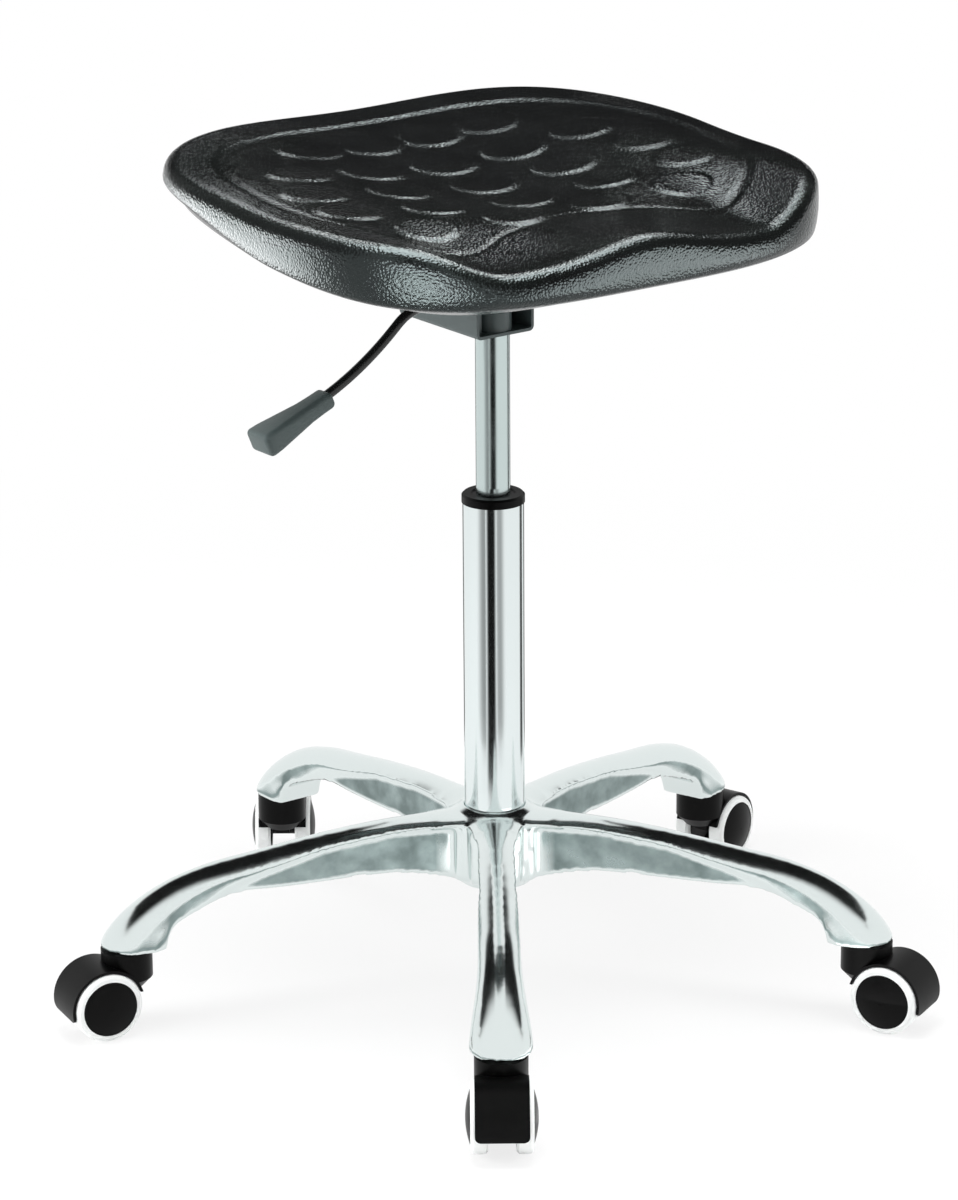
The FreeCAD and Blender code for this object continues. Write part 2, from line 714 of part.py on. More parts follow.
def caster_place(index, offset=V(0, 0, 0), rotation=None):
    """Pose of a castor piece: its place in the castor, turned to its trail, moved to its arm's end."""
    arm = math.radians(ARM_ANGLES[index])
    foot = V(d("stem_radius") * math.cos(arm), d("stem_radius") * math.sin(arm), 0)
    pose = FreeCAD.Placement(foot, FreeCAD.Rotation(V(0, 0, 1), TRAIL_ANGLES[index]))
    local = FreeCAD.Placement(offset, rotation if rotation is not None else FreeCAD.Rotation())
    return pose.multiply(local)


def caster_hood(index):
    centre = "wheel_dia / 2"

    def drum(radius, width, shift="0 * wheel_dia"):
        obj = solid("Cylinder", Radius=radius, Height=width)
        obj.Placement = FreeCAD.Placement(V(0, 0, 0), FreeCAD.Rotation(V(1, 0, 0), 90))
        bind(obj, **{
            "Placement.Base.x": dims("caster_trail"),
            "Placement.Base.y": dims("(" + width + ") / 2 + " + shift),
            "Placement.Base.z": dims(centre),
        })
        return obj

    neck_top = "foot_z - 0.5"
    neck = post("0 * neck_dia", "0 * neck_dia", "wheel_dia * 0.80", "neck_dia / 2", neck_top + " - wheel_dia * 0.80")
    cone = solid("Cone", Radius1="neck_dia / 2 - 8", Radius2="neck_dia / 2", Height="wheel_dia * 0.15")
    bind(cone, **{"Placement.Base.z": dims("wheel_dia * 0.65")})
    shell = joined([drum("hood_dia / 2", "hood_width"), neck, cone])
    room = drum("hood_dia / 2 - hood_wall", "hood_width + 4")
    low_back = block("caster_trail - hood_dia", "-hood_width", "-5 + 0 * hood_dia",
                     "hood_dia * 1.05", "2 * hood_width", "wheel_dia * 0.65 + 5")
    low_front = block("caster_trail + 1", "-hood_width", "-5 + 0 * hood_dia",
                      "hood_dia", "2 * hood_width", "hood_lip_z + 5")
    corners = []
    for low, middle in (("hood_width / 2 - hood_corner", "hood_width / 2 - hood_corner"),
                        ("-hood_width / 2 - 1", "hood_corner - hood_width / 2")):
        square = block("caster_trail + 1", low, "hood_lip_z - 1", "hood_dia", "hood_corner + 1", "hood_corner + 1")
        quarter = solid("Cylinder", Radius="hood_corner", Height="hood_dia + 4")
        quarter.Placement = FreeCAD.Placement(V(0, 0, 0), FreeCAD.Rotation(V(0, 1, 0), 90))
        bind(quarter, **{
            "Placement.Base.x": dims("caster_trail - 1"),
            "Placement.Base.y": dims(middle),
            "Placement.Base.z": dims("hood_lip_z + hood_corner"),
        })
        corners.append(less(square, [quarter]))
    fender = less(shell, [room, low_back, low_front] + corners)
    rib = block("caster_trail * 0.1", "-6 + 0 * hood_dia", "wheel_dia / 2",
                "caster_trail * 1.2", "12 + 0 * hood_dia", "hood_dia / 2 - 2.5")
    boss = drum("axle_dia / 2 + 5", "2 * wheel_inner_y - 1.6")
    axle_bore = drum("axle_dia / 2", "hood_width + 6")
    stem_bore = post("0 * neck_dia", "0 * neck_dia", neck_top + " - 14", "stem_dia / 2", "20 + 0 * neck_dia")
    hood = less(joined([fender, rib, boss]), [axle_bore, stem_bore])
    hood.Placement = caster_place(index)
    return name_node(hood, "hood_" + ARM_NAMES[index])


def caster(index):
    name = ARM_NAMES[index]
    axle_at = V(d("caster_trail"), 0, d("wheel_dia") / 2)
    caster_hood(index)
    stem = turned("stem_" + name, [
        ("0", "foot_z - 14.5"),
        ("stem_dia / 2", "foot_z - 14.5"),
        ("stem_dia / 2", "foot_z + 12"),
        ("stem_dia / 2 - 0.8", "foot_z + 13"),
        ("stem_dia / 2 - 0.8", "foot_z + 15"),
        ("stem_dia / 2", "foot_z + 16"),
        ("stem_dia / 2", "foot_z + 20"),
        ("stem_dia / 2 - 1.5", "foot_z + 22"),
        ("0", "foot_z + 22"),
    ])
    stem.Placement = caster_place(index)
    axle = solid("Cylinder", Radius="axle_dia / 2", Height="2 * wheel_outer_y - 2")
    axle.Placement = caster_place(index, axle_at + V(0, d("wheel_outer_y") - 1, 0), FreeCAD.Rotation(V(1, 0, 0), 90))
    name_node(axle, "axle_" + name)
    for side, tilt in (("a", -90), ("b", 90)):
        turn = FreeCAD.Rotation(V(1, 0, 0), tilt)
        tyre = turned("tyre_%s_%s" % (name, side), [
            ("cap_dia / 2", "wheel_inner_y"),
            ("wheel_dia / 2 - 2", "wheel_inner_y"),
            ("wheel_dia / 2", "wheel_inner_y + 2"),
            ("wheel_dia / 2", "wheel_outer_y - 3.4", "4 + 0 * wheel_dia"),
            ("wheel_dia / 2 - 3", "wheel_outer_y"),
            ("cap_dia / 2", "wheel_outer_y"),
        ])
        tyre.Placement = caster_place(index, axle_at, turn)
        core = turned("wheel_%s_%s" % (name, side), [
            ("axle_dia / 2 + 0.06", "wheel_inner_y - 0.5"),
            ("axle_dia / 2 + 4", "wheel_inner_y - 0.5"),
            ("axle_dia / 2 + 4", "wheel_inner_y + 2.5"),
            ("cap_dia / 2 - 4", "wheel_inner_y + 2.5"),
            ("cap_dia / 2 - 2.5", "wheel_inner_y"),
            ("cap_dia / 2", "wheel_inner_y"),
            ("cap_dia / 2", "wheel_outer_y - 0.6", "(cap_dia ^ 2 / 8 + (cap_bulge + 0.6) ^ 2 / 2) / (cap_bulge + 0.6)"),
            ("0", "wheel_outer_y + cap_bulge"),
            ("0", "wheel_outer_y - 0.5"),
            ("axle_dia / 2 + 0.06", "wheel_outer_y - 0.5"),
        ])
        core.Placement = caster_place(index, axle_at, turn)


for number in range(5):
    caster(number)

doc.recompute()
for obj in doc.Objects:
    if "Invalid" in obj.State or "Error" in obj.State:
        raise RuntimeError("object %s has state %s" % (obj.Label, obj.State))
os.makedirs("parts", exist_ok=True)
for node in nodes:
    shape = node.Shape
    if shape.isNull() or not shape.isValid() or shape.Volume <= 0:
        raise RuntimeError("shape of %s is not valid" % node.Label)
    shape.exportStep("parts/%s.step" % node.Label)
print("nodes", len(nodes))
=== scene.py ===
import logging
import math
from dataclasses import dataclass
from enum import Enum
from functools import partial
from typing import Any, Callable, Dict, List, Optional, Sequence, Tuple

import bmesh
import bpy
from mathutils import Matrix, Vector


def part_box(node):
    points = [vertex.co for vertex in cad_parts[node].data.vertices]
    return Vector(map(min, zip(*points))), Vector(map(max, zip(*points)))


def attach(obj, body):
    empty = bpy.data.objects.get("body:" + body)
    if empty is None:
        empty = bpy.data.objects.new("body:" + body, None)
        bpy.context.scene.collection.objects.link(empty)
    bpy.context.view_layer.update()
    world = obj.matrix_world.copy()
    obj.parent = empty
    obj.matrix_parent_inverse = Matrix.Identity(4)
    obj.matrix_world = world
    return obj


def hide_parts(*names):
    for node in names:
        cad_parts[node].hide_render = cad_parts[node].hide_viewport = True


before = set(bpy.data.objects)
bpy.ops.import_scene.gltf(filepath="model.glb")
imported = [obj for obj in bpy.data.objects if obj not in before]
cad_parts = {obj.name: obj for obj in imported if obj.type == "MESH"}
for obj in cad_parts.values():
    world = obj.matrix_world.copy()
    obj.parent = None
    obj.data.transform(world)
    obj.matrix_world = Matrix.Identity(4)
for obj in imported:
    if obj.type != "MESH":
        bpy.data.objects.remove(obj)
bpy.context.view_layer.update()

log = logging.getLogger("work_stool")
Colour = Tuple[float, float, float, float]
Point = Tuple[float, float, float]
Pair = Tuple[float, float]
Tree = bpy.types.NodeTree
Socket = bpy.types.NodeSocket
Material = bpy.types.Material
BMesh = bmesh.types.BMesh
CASTOR_NAMES = ("front_right", "front_left", "side_left", "rear", "side_right")
# Part of the noise's range that patches use
PATCH_RANGE = (0.3, 0.7)
# Size of the patches in which a moulded surface drifts, and its roughness in them as shares of the mean
PATCH_MM = 38.0
PATCH_GLOSS = (0.88, 1.14)
# The same three for the smears on metal
SMEAR_RANGE = (0.35, 0.7)
SMEAR_MM = 30.0
SMEAR_GLOSS = (0.85, 1.3)


def hex_colour(text: str) -> Colour:
    """Turn an sRGB hex value into linear light.

    Args:
        text: six hex digits, with or without a leading hash.

    Returns:
        Red, green, blue and an alpha of one.
    """
    digits = text.lstrip("#")
    parts = [int(digits[i:i + 2], 16) / 255.0 for i in (0, 2, 4)]
    linear = [c / 12.92 if c <= 0.04045 else ((c + 0.055) / 1.055) ** 2.4 for c in parts]
    return (linear[0], linear[1], linear[2], 1.0)


def ease(t: float) -> float:
    """Smooth step from 0 at 0 to 1 at 1."""
    t = max(0.0, min(1.0, t))
    return t * t * (3.0 - 2.0 * t)


@dataclass(frozen=True)
class Ramp:
    """Smooth rise from nought to one.

    Attributes:
        start: where it begins.
        run: how long it is.
    """

    start: float
    run: float

    def at(self, t: float) -> float:
        """Share of the rise at a place."""
        return ease((t - self.start) / self.run)


def per_metre(millimetres: float) -> float:
    """Pattern scale on Object coordinates for a feature of that size."""
    return 1000.0 / millimetres


def add_node(tree: Tree, kind: str, inputs: Optional[Dict[Any, Any]] = None,
             **settings: Any) -> bpy.types.Node:
    """Add one node with its settings, values and links.

    Args:
        tree: the node tree that takes it.
        kind: the node's type name.
        inputs: socket name or number to a value, or to the output socket that feeds it.
        settings: the node's own properties.

    Returns:
        The new node.
    """
    node = tree.nodes.new(kind)
    for key, value in settings.items():
        setattr(node, key, value)
    for key, value in (inputs or {}).items():
        if isinstance(value, Socket):
            tree.links.new(value, node.inputs[key])
        else:
            node.inputs[key].default_value = value
    return node


def calc(tree: Tree, operation: str, *values: Any) -> Socket:
    """Result of one sum, given by its name, on values or sockets."""
    return add_node(tree, "ShaderNodeMath", dict(enumerate(values)), operation=operation).outputs[0]


def remap(tree: Tree, value: Socket, source: Pair, target: Pair = (0.0, 1.0),
          curve: str = "LINEAR") -> Socket:
    """Value carried from one range to another, along a named curve."""
    ends = {"From Min": source[0], "From Max": source[1], "To Min": target[0], "To Max": target[1]}
    return add_node(tree, "ShaderNodeMapRange", {"Value": value, **ends}, interpolation_type=curve).outputs[0]


def noise(tree: Tree, place: Socket, size_mm: float, detail: float, rough: float = 0.5) -> Socket:
    """Soft noise in the object's own coordinates.

    Args:
        tree: the node tree that takes it.
        place: the coordinates.
        size_mm: size of its largest features.
        detail: how many finer layers it has.
        rough: how strong the finer layers are.

    Returns:
        The noise's socket, from nought to one.
    """
    inputs = {"Vector": place, "Scale": per_metre(size_mm), "Detail": detail, "Roughness": rough}
    return add_node(tree, "ShaderNodeTexNoise", inputs).outputs["Fac"]


def blend(tree: Tree, share: Socket, first: Any, second: Any) -> Socket:
    """Colour between two colours, by a share."""
    return add_node(tree, "ShaderNodeMix", {0: share, 6: first, 7: second}, data_type="RGBA").outputs[2]


def relief(tree: Tree, height: Socket, depth_mm: float) -> Socket:
    """Normal of a surface with a fine relief of that depth."""
    inputs = {"Height": height, "Strength": 1.0, "Distance": depth_mm / 1000.0}
    return add_node(tree, "ShaderNodeBump", inputs).outputs[0]


def blank_material(name: str) -> Tuple[Material, Tree, Socket]:
    """Make an empty node material.

    Args:
        name: the real material's name.

    Returns:
        The material, its tree and the socket that takes its surface.
    """
    material = bpy.data.materials.new(name)
    material.use_nodes = True
    tree = material.node_tree
    tree.nodes.clear()
    return material, tree, tree.nodes.new("ShaderNodeOutputMaterial").inputs["Surface"]


def object_place(tree: Tree) -> Socket:
    """Object coordinates, which move with the piece."""
    return add_node(tree, "ShaderNodeTexCoord").outputs["Object"]


def coat(tree: Tree, surface: Socket, inputs: Dict[str, Any]) -> None:
    """Give a material one principled surface with these values and sockets."""
    tree.links.new(add_node(tree, "ShaderNodeBsdfPrincipled", inputs).outputs[0], surface)


class Sheen(Enum):
    """How a surface was finished, with its mean roughness."""

    POLISHED = 0.11
    GLOSSY = 0.19
    SATIN = 0.27
    MOULDED = 0.36
    MATTE = 0.52

    def spread(self, shares: Pair) -> Pair:
        """Least and greatest roughness, as shares of the mean."""
        return self.value * shares[0], self.value * shares[1]


@dataclass(frozen=True)
class GrainFinish:
    """A moulded or painted surface: one colour, a mottled gloss and a fine relief.

    Attributes:
        name: the real material.
        colour: sRGB hex of the body.
        tint: sRGB hex that the body drifts to in patches.
        sheen: how the surface was finished.
        grain_mm: size of one grain of the relief.
        relief_mm: height of the relief.
        pebbled: True for round pebbles, False for soft orange peel.
        ior: index of refraction.
        glint: sRGB hex of what it mirrors when it mirrors white.
    """

    name: str
    colour: str
    tint: str
    sheen: Sheen
    grain_mm: float
    relief_mm: float
    pebbled: bool = False
    ior: float = 1.5
    glint: str = "#ffffff"

    def material(self) -> Material:
        """Build the node material."""
        material, tree, surface = blank_material(self.name)
        place = object_place(tree)
        patch = noise(tree, place, PATCH_MM, 4.0)
        if self.pebbled:
            inputs = {"Vector": place, "Scale": per_metre(self.grain_mm), "Smoothness": 0.6}
            cells = add_node(tree, "ShaderNodeTexVoronoi", inputs, feature="SMOOTH_F1")
            high = calc(tree, "SUBTRACT", 1.0, cells.outputs["Distance"])
        else:
            high = noise(tree, place, self.grain_mm, 3.0, 0.55)
        coat(tree, surface, {
            "Base Color": blend(tree, patch, hex_colour(self.colour), hex_colour(self.tint)),
            "Roughness": remap(tree, patch, PATCH_RANGE, self.sheen.spread(PATCH_GLOSS)),
            "IOR": self.ior,
            "Specular Tint": hex_colour(self.glint),
            "Normal": relief(tree, high, self.relief_mm)})
        return material


@dataclass(frozen=True)
class MetalFinish:
    """Bare or plated metal with fine working marks along one direction.

    Attributes:
        name: the real material.
        colour: sRGB hex of its reflection.
        sheen: how the surface was finished.
        line_mm: width of the working marks.
        stretch: scale of the marks along X, Y and Z, small where they are long.
        relief_mm: depth of the marks.
    """

    name: str
    colour: str
    sheen: Sheen
    line_mm: float = 0.8
    stretch: Point = (1.0, 1.0, 0.02)
    relief_mm: float = 0.0015

    def material(self) -> Material:
        """Build the node material."""
        material, tree, surface = blank_material(self.name)
        place = object_place(tree)
        drawn = add_node(tree, "ShaderNodeMapping", {"Vector": place, "Scale": self.stretch}).outputs[0]
        marks = noise(tree, drawn, self.line_mm, 2.0)
        smears = noise(tree, place, SMEAR_MM, 5.0)
        coat(tree, surface, {
            "Base Color": hex_colour(self.colour),
            "Metallic": 1.0,
            "Roughness": remap(tree, smears, SMEAR_RANGE, self.sheen.spread(SMEAR_GLOSS)),
            "Normal": relief(tree, marks, self.relief_mm)})
        return material


@dataclass(frozen=True)
class CastAluminium:
    """Die-cast aluminium: buffed caps, and upright webs left with a satin blasted skin.

    Attributes:
        name: the real material.
        bright: sRGB hex of the buffed metal.
        dull: sRGB hex of the blasted webs.
        worn: sRGB hex of the webs' darker patches.
        hub: radii between which the webs' skin starts, in metres.
        lean: upward parts of the normal between which a face turns from cap to web.
        buffed: least and greatest roughness of the caps.
        blasted: least and greatest roughness of the webs.
        sand_mm: size of the blasted grain.
        sand_depth_mm: its depth.
        flow_mm: size of the patches left by the cast.
        worn_range: part of their range over which the webs go from dull to worn.
    """

    name: str = "die_cast_aluminium"
    bright: str = "#e0e8e7"
    dull: str = "#9eadac"
    worn: str = "#778584"
    hub: Pair = (0.046, 0.058)
    lean: Pair = (0.16, 0.05)
    buffed: Pair = (0.13, 0.20)
    blasted: Pair = (0.26, 0.42)
    sand_mm: float = 1.1
    sand_depth_mm: float = 0.06
    flow_mm: float = 26.0
    worn_range: Pair = (0.35, 0.65)

    def web(self, tree: Tree, coord: bpy.types.Node) -> Socket:
        """One on the upright webs outside the hub, nought on the caps."""
        facing = add_node(tree, "ShaderNodeSeparateXYZ", {0: coord.outputs["Normal"]})
        spot = add_node(tree, "ShaderNodeSeparateXYZ", {0: coord.outputs["Object"]})
        level = add_node(tree, "ShaderNodeCombineXYZ", {0: spot.outputs[0], 1: spot.outputs[1]})
        reach = add_node(tree, "ShaderNodeVectorMath", {0: level.outputs[0]}, operation="LENGTH")
        upright = remap(tree, calc(tree, "ABSOLUTE", facing.outputs[2]), self.lean)
        outside = remap(tree, reach.outputs["Value"], self.hub)
        return calc(tree, "MULTIPLY", upright, outside)

    def material(self) -> Material:
        """Build the node material."""
        material, tree, surface = blank_material(self.name)
        coord = add_node(tree, "ShaderNodeTexCoord")
        place = coord.outputs["Object"]
        web = self.web(tree, coord)
        sand = noise(tree, place, self.sand_mm, 3.0)
        flow = noise(tree, place, self.flow_mm, 6.0)
        patchy = remap(tree, flow, self.worn_range)
        skin = blend(tree, patchy, hex_colour(self.dull), hex_colour(self.worn))
        caps = remap(tree, flow, PATCH_RANGE, self.buffed)
        webs = remap(tree, flow, PATCH_RANGE, self.blasted)
        coat(tree, surface, {
            "Base Color": blend(tree, web, hex_colour(self.bright), skin),
            "Metallic": 1.0,
            "Roughness": add_node(tree, "ShaderNodeMix", {0: web, 2: caps, 3: webs}).outputs[0],
            "Normal": relief(tree, calc(tree, "MULTIPLY", sand, web), self.sand_depth_mm)})
        return material


@dataclass(frozen=True)
class PlyFinish:
    """Plywood board, stained black, with its grain drawn long along X."""

    name: str = "stained_plywood"
    pale: str = "#241f1a"
    dark: str = "#171411"
    grain_mm: float = 3.0
    stretch: Point = (0.06, 1.0, 1.0)
    roughness: float = 0.6

    def material(self) -> Material:
        """Build the node material."""
        material, tree, surface = blank_material(self.name)
        drawn = add_node(tree, "ShaderNodeMapping", {"Vector": object_place(tree), "Scale": self.stretch})
        lines = noise(tree, drawn.outputs[0], self.grain_mm, 5.0)
        body = blend(tree, lines, hex_colour(self.pale), hex_colour(self.dark))
        coat(tree, surface, {"Base Color": body, "Roughness": self.roughness})
        return material


# Integral-skin polyurethane: the mould's pebble grain breaks the gloss into sparkling points
SKIN_FOAM = GrainFinish("integral_skin_polyurethane", "#0e0f0f", "#151616", Sheen.GLOSSY, 1.9, 0.37,
                        pebbled=True, ior=1.45, glint="#ebffff")
# Chromed steel tube: a mirror with faint lines drawn along the tube
CHROME = MetalFinish("chromed_steel", "#e2eaea", Sheen.POLISHED)
# Ground piston steel: greyer and a little softer than the plated tube
SATIN_STEEL = MetalFinish("ground_steel", "#c6d3d2", Sheen.GLOSSY, 0.6, (1.0, 1.0, 0.05), 0.0006)
# Zinc plated fasteners and pins
PLATED_STEEL = MetalFinish("zinc_plated_steel", "#bfc3c4", Sheen.SATIN, 1.2, (1.0, 1.0, 1.0), 0.004)
# Powder coat on pressed steel: soft orange peel, drawn coarser than life so that it shows
POWDER_COAT = GrainFinish("black_powder_coat", "#404a4a", "#475151", Sheen.MOULDED, 1.6, 0.03)
# Gloss paint on the lever rod
LEVER_PAINT = GrainFinish("black_gloss_paint", "#0c0d0d", "#121313", Sheen.SATIN, 2.0, 0.01)
# Injection moulded nylon: black, with little gloss
NYLON = GrainFinish("black_nylon", "#030303", "#050505", Sheen.MOULDED, 2.2, 0.012, ior=1.2)
# Spark-eroded grip plastic: grey, dry and finely pitted
GRIP_PLASTIC = GrainFinish("grey_polypropylene", "#424d4d", "#4d5958", Sheen.MATTE, 1.5, 0.16)
# Soft castor tread: pale grey polyurethane
TREAD = GrainFinish("pale_grey_polyurethane", "#f3f5f4", "#eceeed", Sheen.MATTE, 2.5, 0.01)
# Seal and bumper rubber: dull and black
RUBBER = GrainFinish("black_rubber", "#161616", "#1b1b1b", Sheen.MATTE, 1.5, 0.02)


def extrude(bm: BMesh,
            edges: Sequence[bmesh.types.BMEdge]) -> Tuple[List[bmesh.types.BMVert], List[bmesh.types.BMEdge]]:
    """Draw a loop of edges out by one ring, ready to be moved.

    Args:
        bm: the mesh.
        edges: the open loop.

    Returns:
        The new ring's vertices and its open edges.
    """
    drawn = bmesh.ops.extrude_edge_only(bm, edges=edges)["geom"]
    verts = [item for item in drawn if isinstance(item, bmesh.types.BMVert)]
    loop = [item for item in drawn if isinstance(item, bmesh.types.BMEdge) and item.is_boundary]
    return verts, loop


def finish_piece(bm: BMesh, name: str, body: str, material: Material) -> bpy.types.Object:
    """Turn a bmesh into a shown piece that rides on a body.

    Args:
        bm: the finished mesh, in place; it is freed.
        name: the piece's name.
        body: the body that it moves with.
        material: its finish.

    Returns:
        The new object.
    """
    bmesh.ops.recalc_face_normals(bm, faces=bm.faces)
    for face in bm.faces:
        face.smooth = True
    mesh = bpy.data.meshes.new(name)
    bm.to_mesh(mesh)
    bm.free()
    mesh.materials.append(material)
    piece = bpy.data.objects.new(name, mesh)
    bpy.context.scene.collection.objects.link(piece)
    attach(piece, body)
    log.info("piece %s, %d faces", name, len(mesh.polygons))
    return piece


def dress(names: Sequence[str], material: Material) -> None:
    """Give carried-over nodes a finish.

    Args:
        names: the nodes.
        material: what they are made of.
    """
    for name in names:
        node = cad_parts[name]
        node.data.materials.clear()
        node.data.materials.append(material)
        log.info("node %s is %s", name, material.name)


@dataclass(frozen=True)
class SeatCushion:
    """Moulded foam seat: rolled rim, recessed pan with raised ovals, thigh dips and a front hump.

    Lengths are in metres. The starts and ramps of back, sides and front, and the hump's width, are
    shares of the half width or half depth.

    Attributes:
        half_width: half the seat from side to side.
        half_depth: half the seat from front to back.
        square: how square the outline is; 2 is an ellipse.
        pan_z: height of the pan's middle.
        base_z: height of the flat under the seat.
        board_z, glue_gap: height of the board's top, and what stays free above it.
        back_rise, back_start, back_run, back_power: how the surface climbs to the back.
        side_rise, side_ramp: how it climbs to the sides.
        side_fade, fade_ramp: how much of that is lost towards the back.
        front_drop, front_ramp: how it falls at the front.
        hump, hump_width: the front's middle hump.
        shoulder, shoulder_ramp: how the front's corners rise again, in front drops.
        dip, dip_x, dip_y, dip_spread: the two thigh dips.
        edge_radius, roll_steps: the rounded upper edge.
        wall_drop, wall_tilt: the wall's lower edge below the pan, and its rise to the back.
        back_sweep, sweep_ramp: what that edge climbs further at the back, along Y.
        wall_rings: share of the wall's height, inset and lift of each ring.
        upper_rings: scale, depth below the pan, tilt and share of the sweep of each ring under the wall.
        lower_rings: scale, height above the flat and tilt of each ring further in.
        well_scale: scale of the well that the board sits in.
        pan_step, pan_ramp: the slope from the rim into the pan, by distance inside the border.
        lip, lip_ramp: how the pan's floor comes up again past the groove along the border.
        oval_rise, oval_stretch, oval_ramp, oval_margin: the raised ovals.
        columns, rows: cells of the sitting surface.
        border: direction in degrees and distance of the pan's border, on the right half.
        oval_rows: Y, half depth and X places of each row of ovals.
    """

    half_width: float = 0.241
    half_depth: float = 0.206
    square: float = 3.3
    pan_z: float = 0.673
    base_z: float = 0.601
    board_z: float = 0.613
    glue_gap: float = 0.0004
    back_rise: float = 0.033
    back_start: float = -0.25
    back_run: float = 1.2
    back_power: float = 1.6
    side_rise: float = 0.018
    side_ramp: Ramp = Ramp(0.0, 0.85)
    side_fade: float = 0.60
    fade_ramp: Ramp = Ramp(0.1, 0.8)
    front_drop: float = 0.012
    front_ramp: Ramp = Ramp(0.28, 0.62)
    hump: float = 0.014
    hump_width: float = 0.26
    shoulder: float = 2.2
    shoulder_ramp: Ramp = Ramp(0.5, 0.35)
    dip: float = 0.007
    dip_x: float = 0.145
    dip_y: float = -0.10
    dip_spread: Pair = (0.05, 0.055)
    edge_radius: float = 0.012
    roll_steps: int = 6
    wall_drop: float = 0.0155
    wall_tilt: float = 0.11
    back_sweep: float = 0.013
    sweep_ramp: Ramp = Ramp(-0.04, 0.15)
    wall_rings: Tuple[Point, ...] = (
        (0.25, -0.0004, 0.0), (0.5, -0.0003, 0.0), (0.75, 0.0006, 0.0), (1.0, 0.0018, 0.0026),
        (1.0, 0.0026, 0.0008), (1.0, 0.0042, -0.0003), (1.0, 0.0065, -0.0016))
    upper_rings: Tuple[Tuple[float, float, float, float], ...] = (
        (0.945, 0.0215, 0.10, 0.6), (0.90, 0.0265, 0.094, 0.3), (0.80, 0.035, 0.08, 0.0))
    lower_rings: Tuple[Point, ...] = (
        (0.70, 0.0255, 0.06), (0.60, 0.0135, 0.04), (0.50, 0.0042, 0.015), (0.45, 0.0008, 0.0),
        (0.43, 0.0, 0.0), (0.4125, 0.0, 0.0))
    well_scale: float = 0.4125
    pan_step: float = 0.0020
    pan_ramp: Ramp = Ramp(-0.001, 0.0045)
    lip: float = 0.0008
    lip_ramp: Ramp = Ramp(0.008, 0.004)
    oval_rise: float = 0.0017
    oval_stretch: float = 1.36
    oval_ramp: Ramp = Ramp(0.86, 0.20)
    oval_margin: float = 0.004
    columns: int = 230
    rows: int = 196
    border: Tuple[Pair, ...] = (
        (-90.0, 0.104), (-66.1, 0.1236), (-56.7, 0.1459), (-49.5, 0.1802), (-40.5, 0.1972),
        (-31.2, 0.2082), (-21.8, 0.2154), (-5.3, 0.2149), (8.5, 0.2164), (24.2, 0.2193),
        (34.8, 0.2191), (45.0, 0.2121), (56.0, 0.1966), (73.6, 0.1772), (90.0, 0.171))
    oval_rows: Tuple[Tuple[float, float, Tuple[float, ...]], ...] = (
        (0.124, 0.0225, (-0.088, -0.030, 0.030, 0.088)),
        (0.064, 0.0225, (-0.140, -0.070, 0.0, 0.070, 0.140)),
        (0.010, 0.0225, (-0.163, -0.081, 0.0, 0.081, 0.163)),
        (-0.040, 0.0215, (-0.165, -0.084, 0.0, 0.084, 0.165)),
        (-0.085, 0.0200, (-0.125, -0.042, 0.042, 0.125)))

    def height(self, x: float, y: float) -> float:
        """Height of the smooth sitting surface over a point."""
        u = abs(x) / self.half_width
        v = y / self.half_depth
        back = self.back_rise * max((v - self.back_start) / self.back_run, 0.0) ** self.back_power
        front = self.front_ramp.at(-v)
        fade = (1.0 - self.side_fade * self.fade_ramp.at(v)) * (1.0 - front)
        side = self.side_rise * self.side_ramp.at(u) * fade
        edge = -self.front_drop + self.hump * math.exp(-(u / self.hump_width) ** 2)
        edge += self.shoulder * self.front_drop * self.shoulder_ramp.at(u)
        off_x = (abs(x) - self.dip_x) / self.dip_spread[0]
        off_y = (y - self.dip_y) / self.dip_spread[1]
        return self.pan_z + back + side + front * edge - self.dip * math.exp(-off_x ** 2 - off_y ** 2)

    def inside(self, x: float, y: float) -> float:
        """Distance of a point inside the pan's border, along the line from the middle."""
        turn = math.degrees(math.atan2(y, abs(x)))
        stops = self.border
        k = max(i for i in range(len(stops) - 1) if stops[i][0] <= turn or i == 0)
        t = (turn - stops[k][0]) / (stops[k + 1][0] - stops[k][0])
        before = stops[k - 1][1] if k > 0 else stops[1][1]
        after = stops[k + 2][1] if k + 2 < len(stops) else stops[k][1]
        a, b = stops[k][1], stops[k + 1][1]
        bend = 0.5 * ((2 * a) + (b - before) * t + (2 * before - 5 * a + 4 * b - after) * t * t
                      + (3 * a - before - 3 * b + after) * t ** 3)
        return bend - math.hypot(x, y)

    def surface(self, x: float, y: float) -> float:
        """Height of the finished top: pan, border lines and ovals."""
        z = self.height(x, y)
        depth = self.inside(x, y)
        z -= self.pan_step * self.pan_ramp.at(depth) - self.lip * self.lip_ramp.at(depth)
        if depth > self.oval_margin:
            for row_y, radius, spots in self.oval_rows:
                if abs(y - row_y) > 2.0 * radius:
                    continue
                for spot in spots:
                    far = math.hypot((x - spot) / (radius * self.oval_stretch), (y - row_y) / radius)
                    z += self.oval_rise * (1.0 - self.oval_ramp.at(far))
        return z

    def outline(self, turn: float, inset: float = 0.0) -> Pair:
        """Point of the seat's outline, moved inwards along its normal.

        Args:
            turn: direction from the middle, in radians.
            inset: how far inside the outline.

        Returns:
            X and Y in metres.
        """
        c, s = math.cos(turn), math.sin(turn)
        n = self.square
        r = ((abs(c) / self.half_width) ** n + (abs(s) / self.half_depth) ** n) ** (-1.0 / n)
        x, y = r * c, r * s
        gx = math.copysign((abs(x) / self.half_width) ** (n - 1) / self.half_width, x)
        gy = math.copysign((abs(y) / self.half_depth) ** (n - 1) / self.half_depth, y)
        size = math.hypot(gx, gy)
        return x - inset * gx / size, y - inset * gy / size

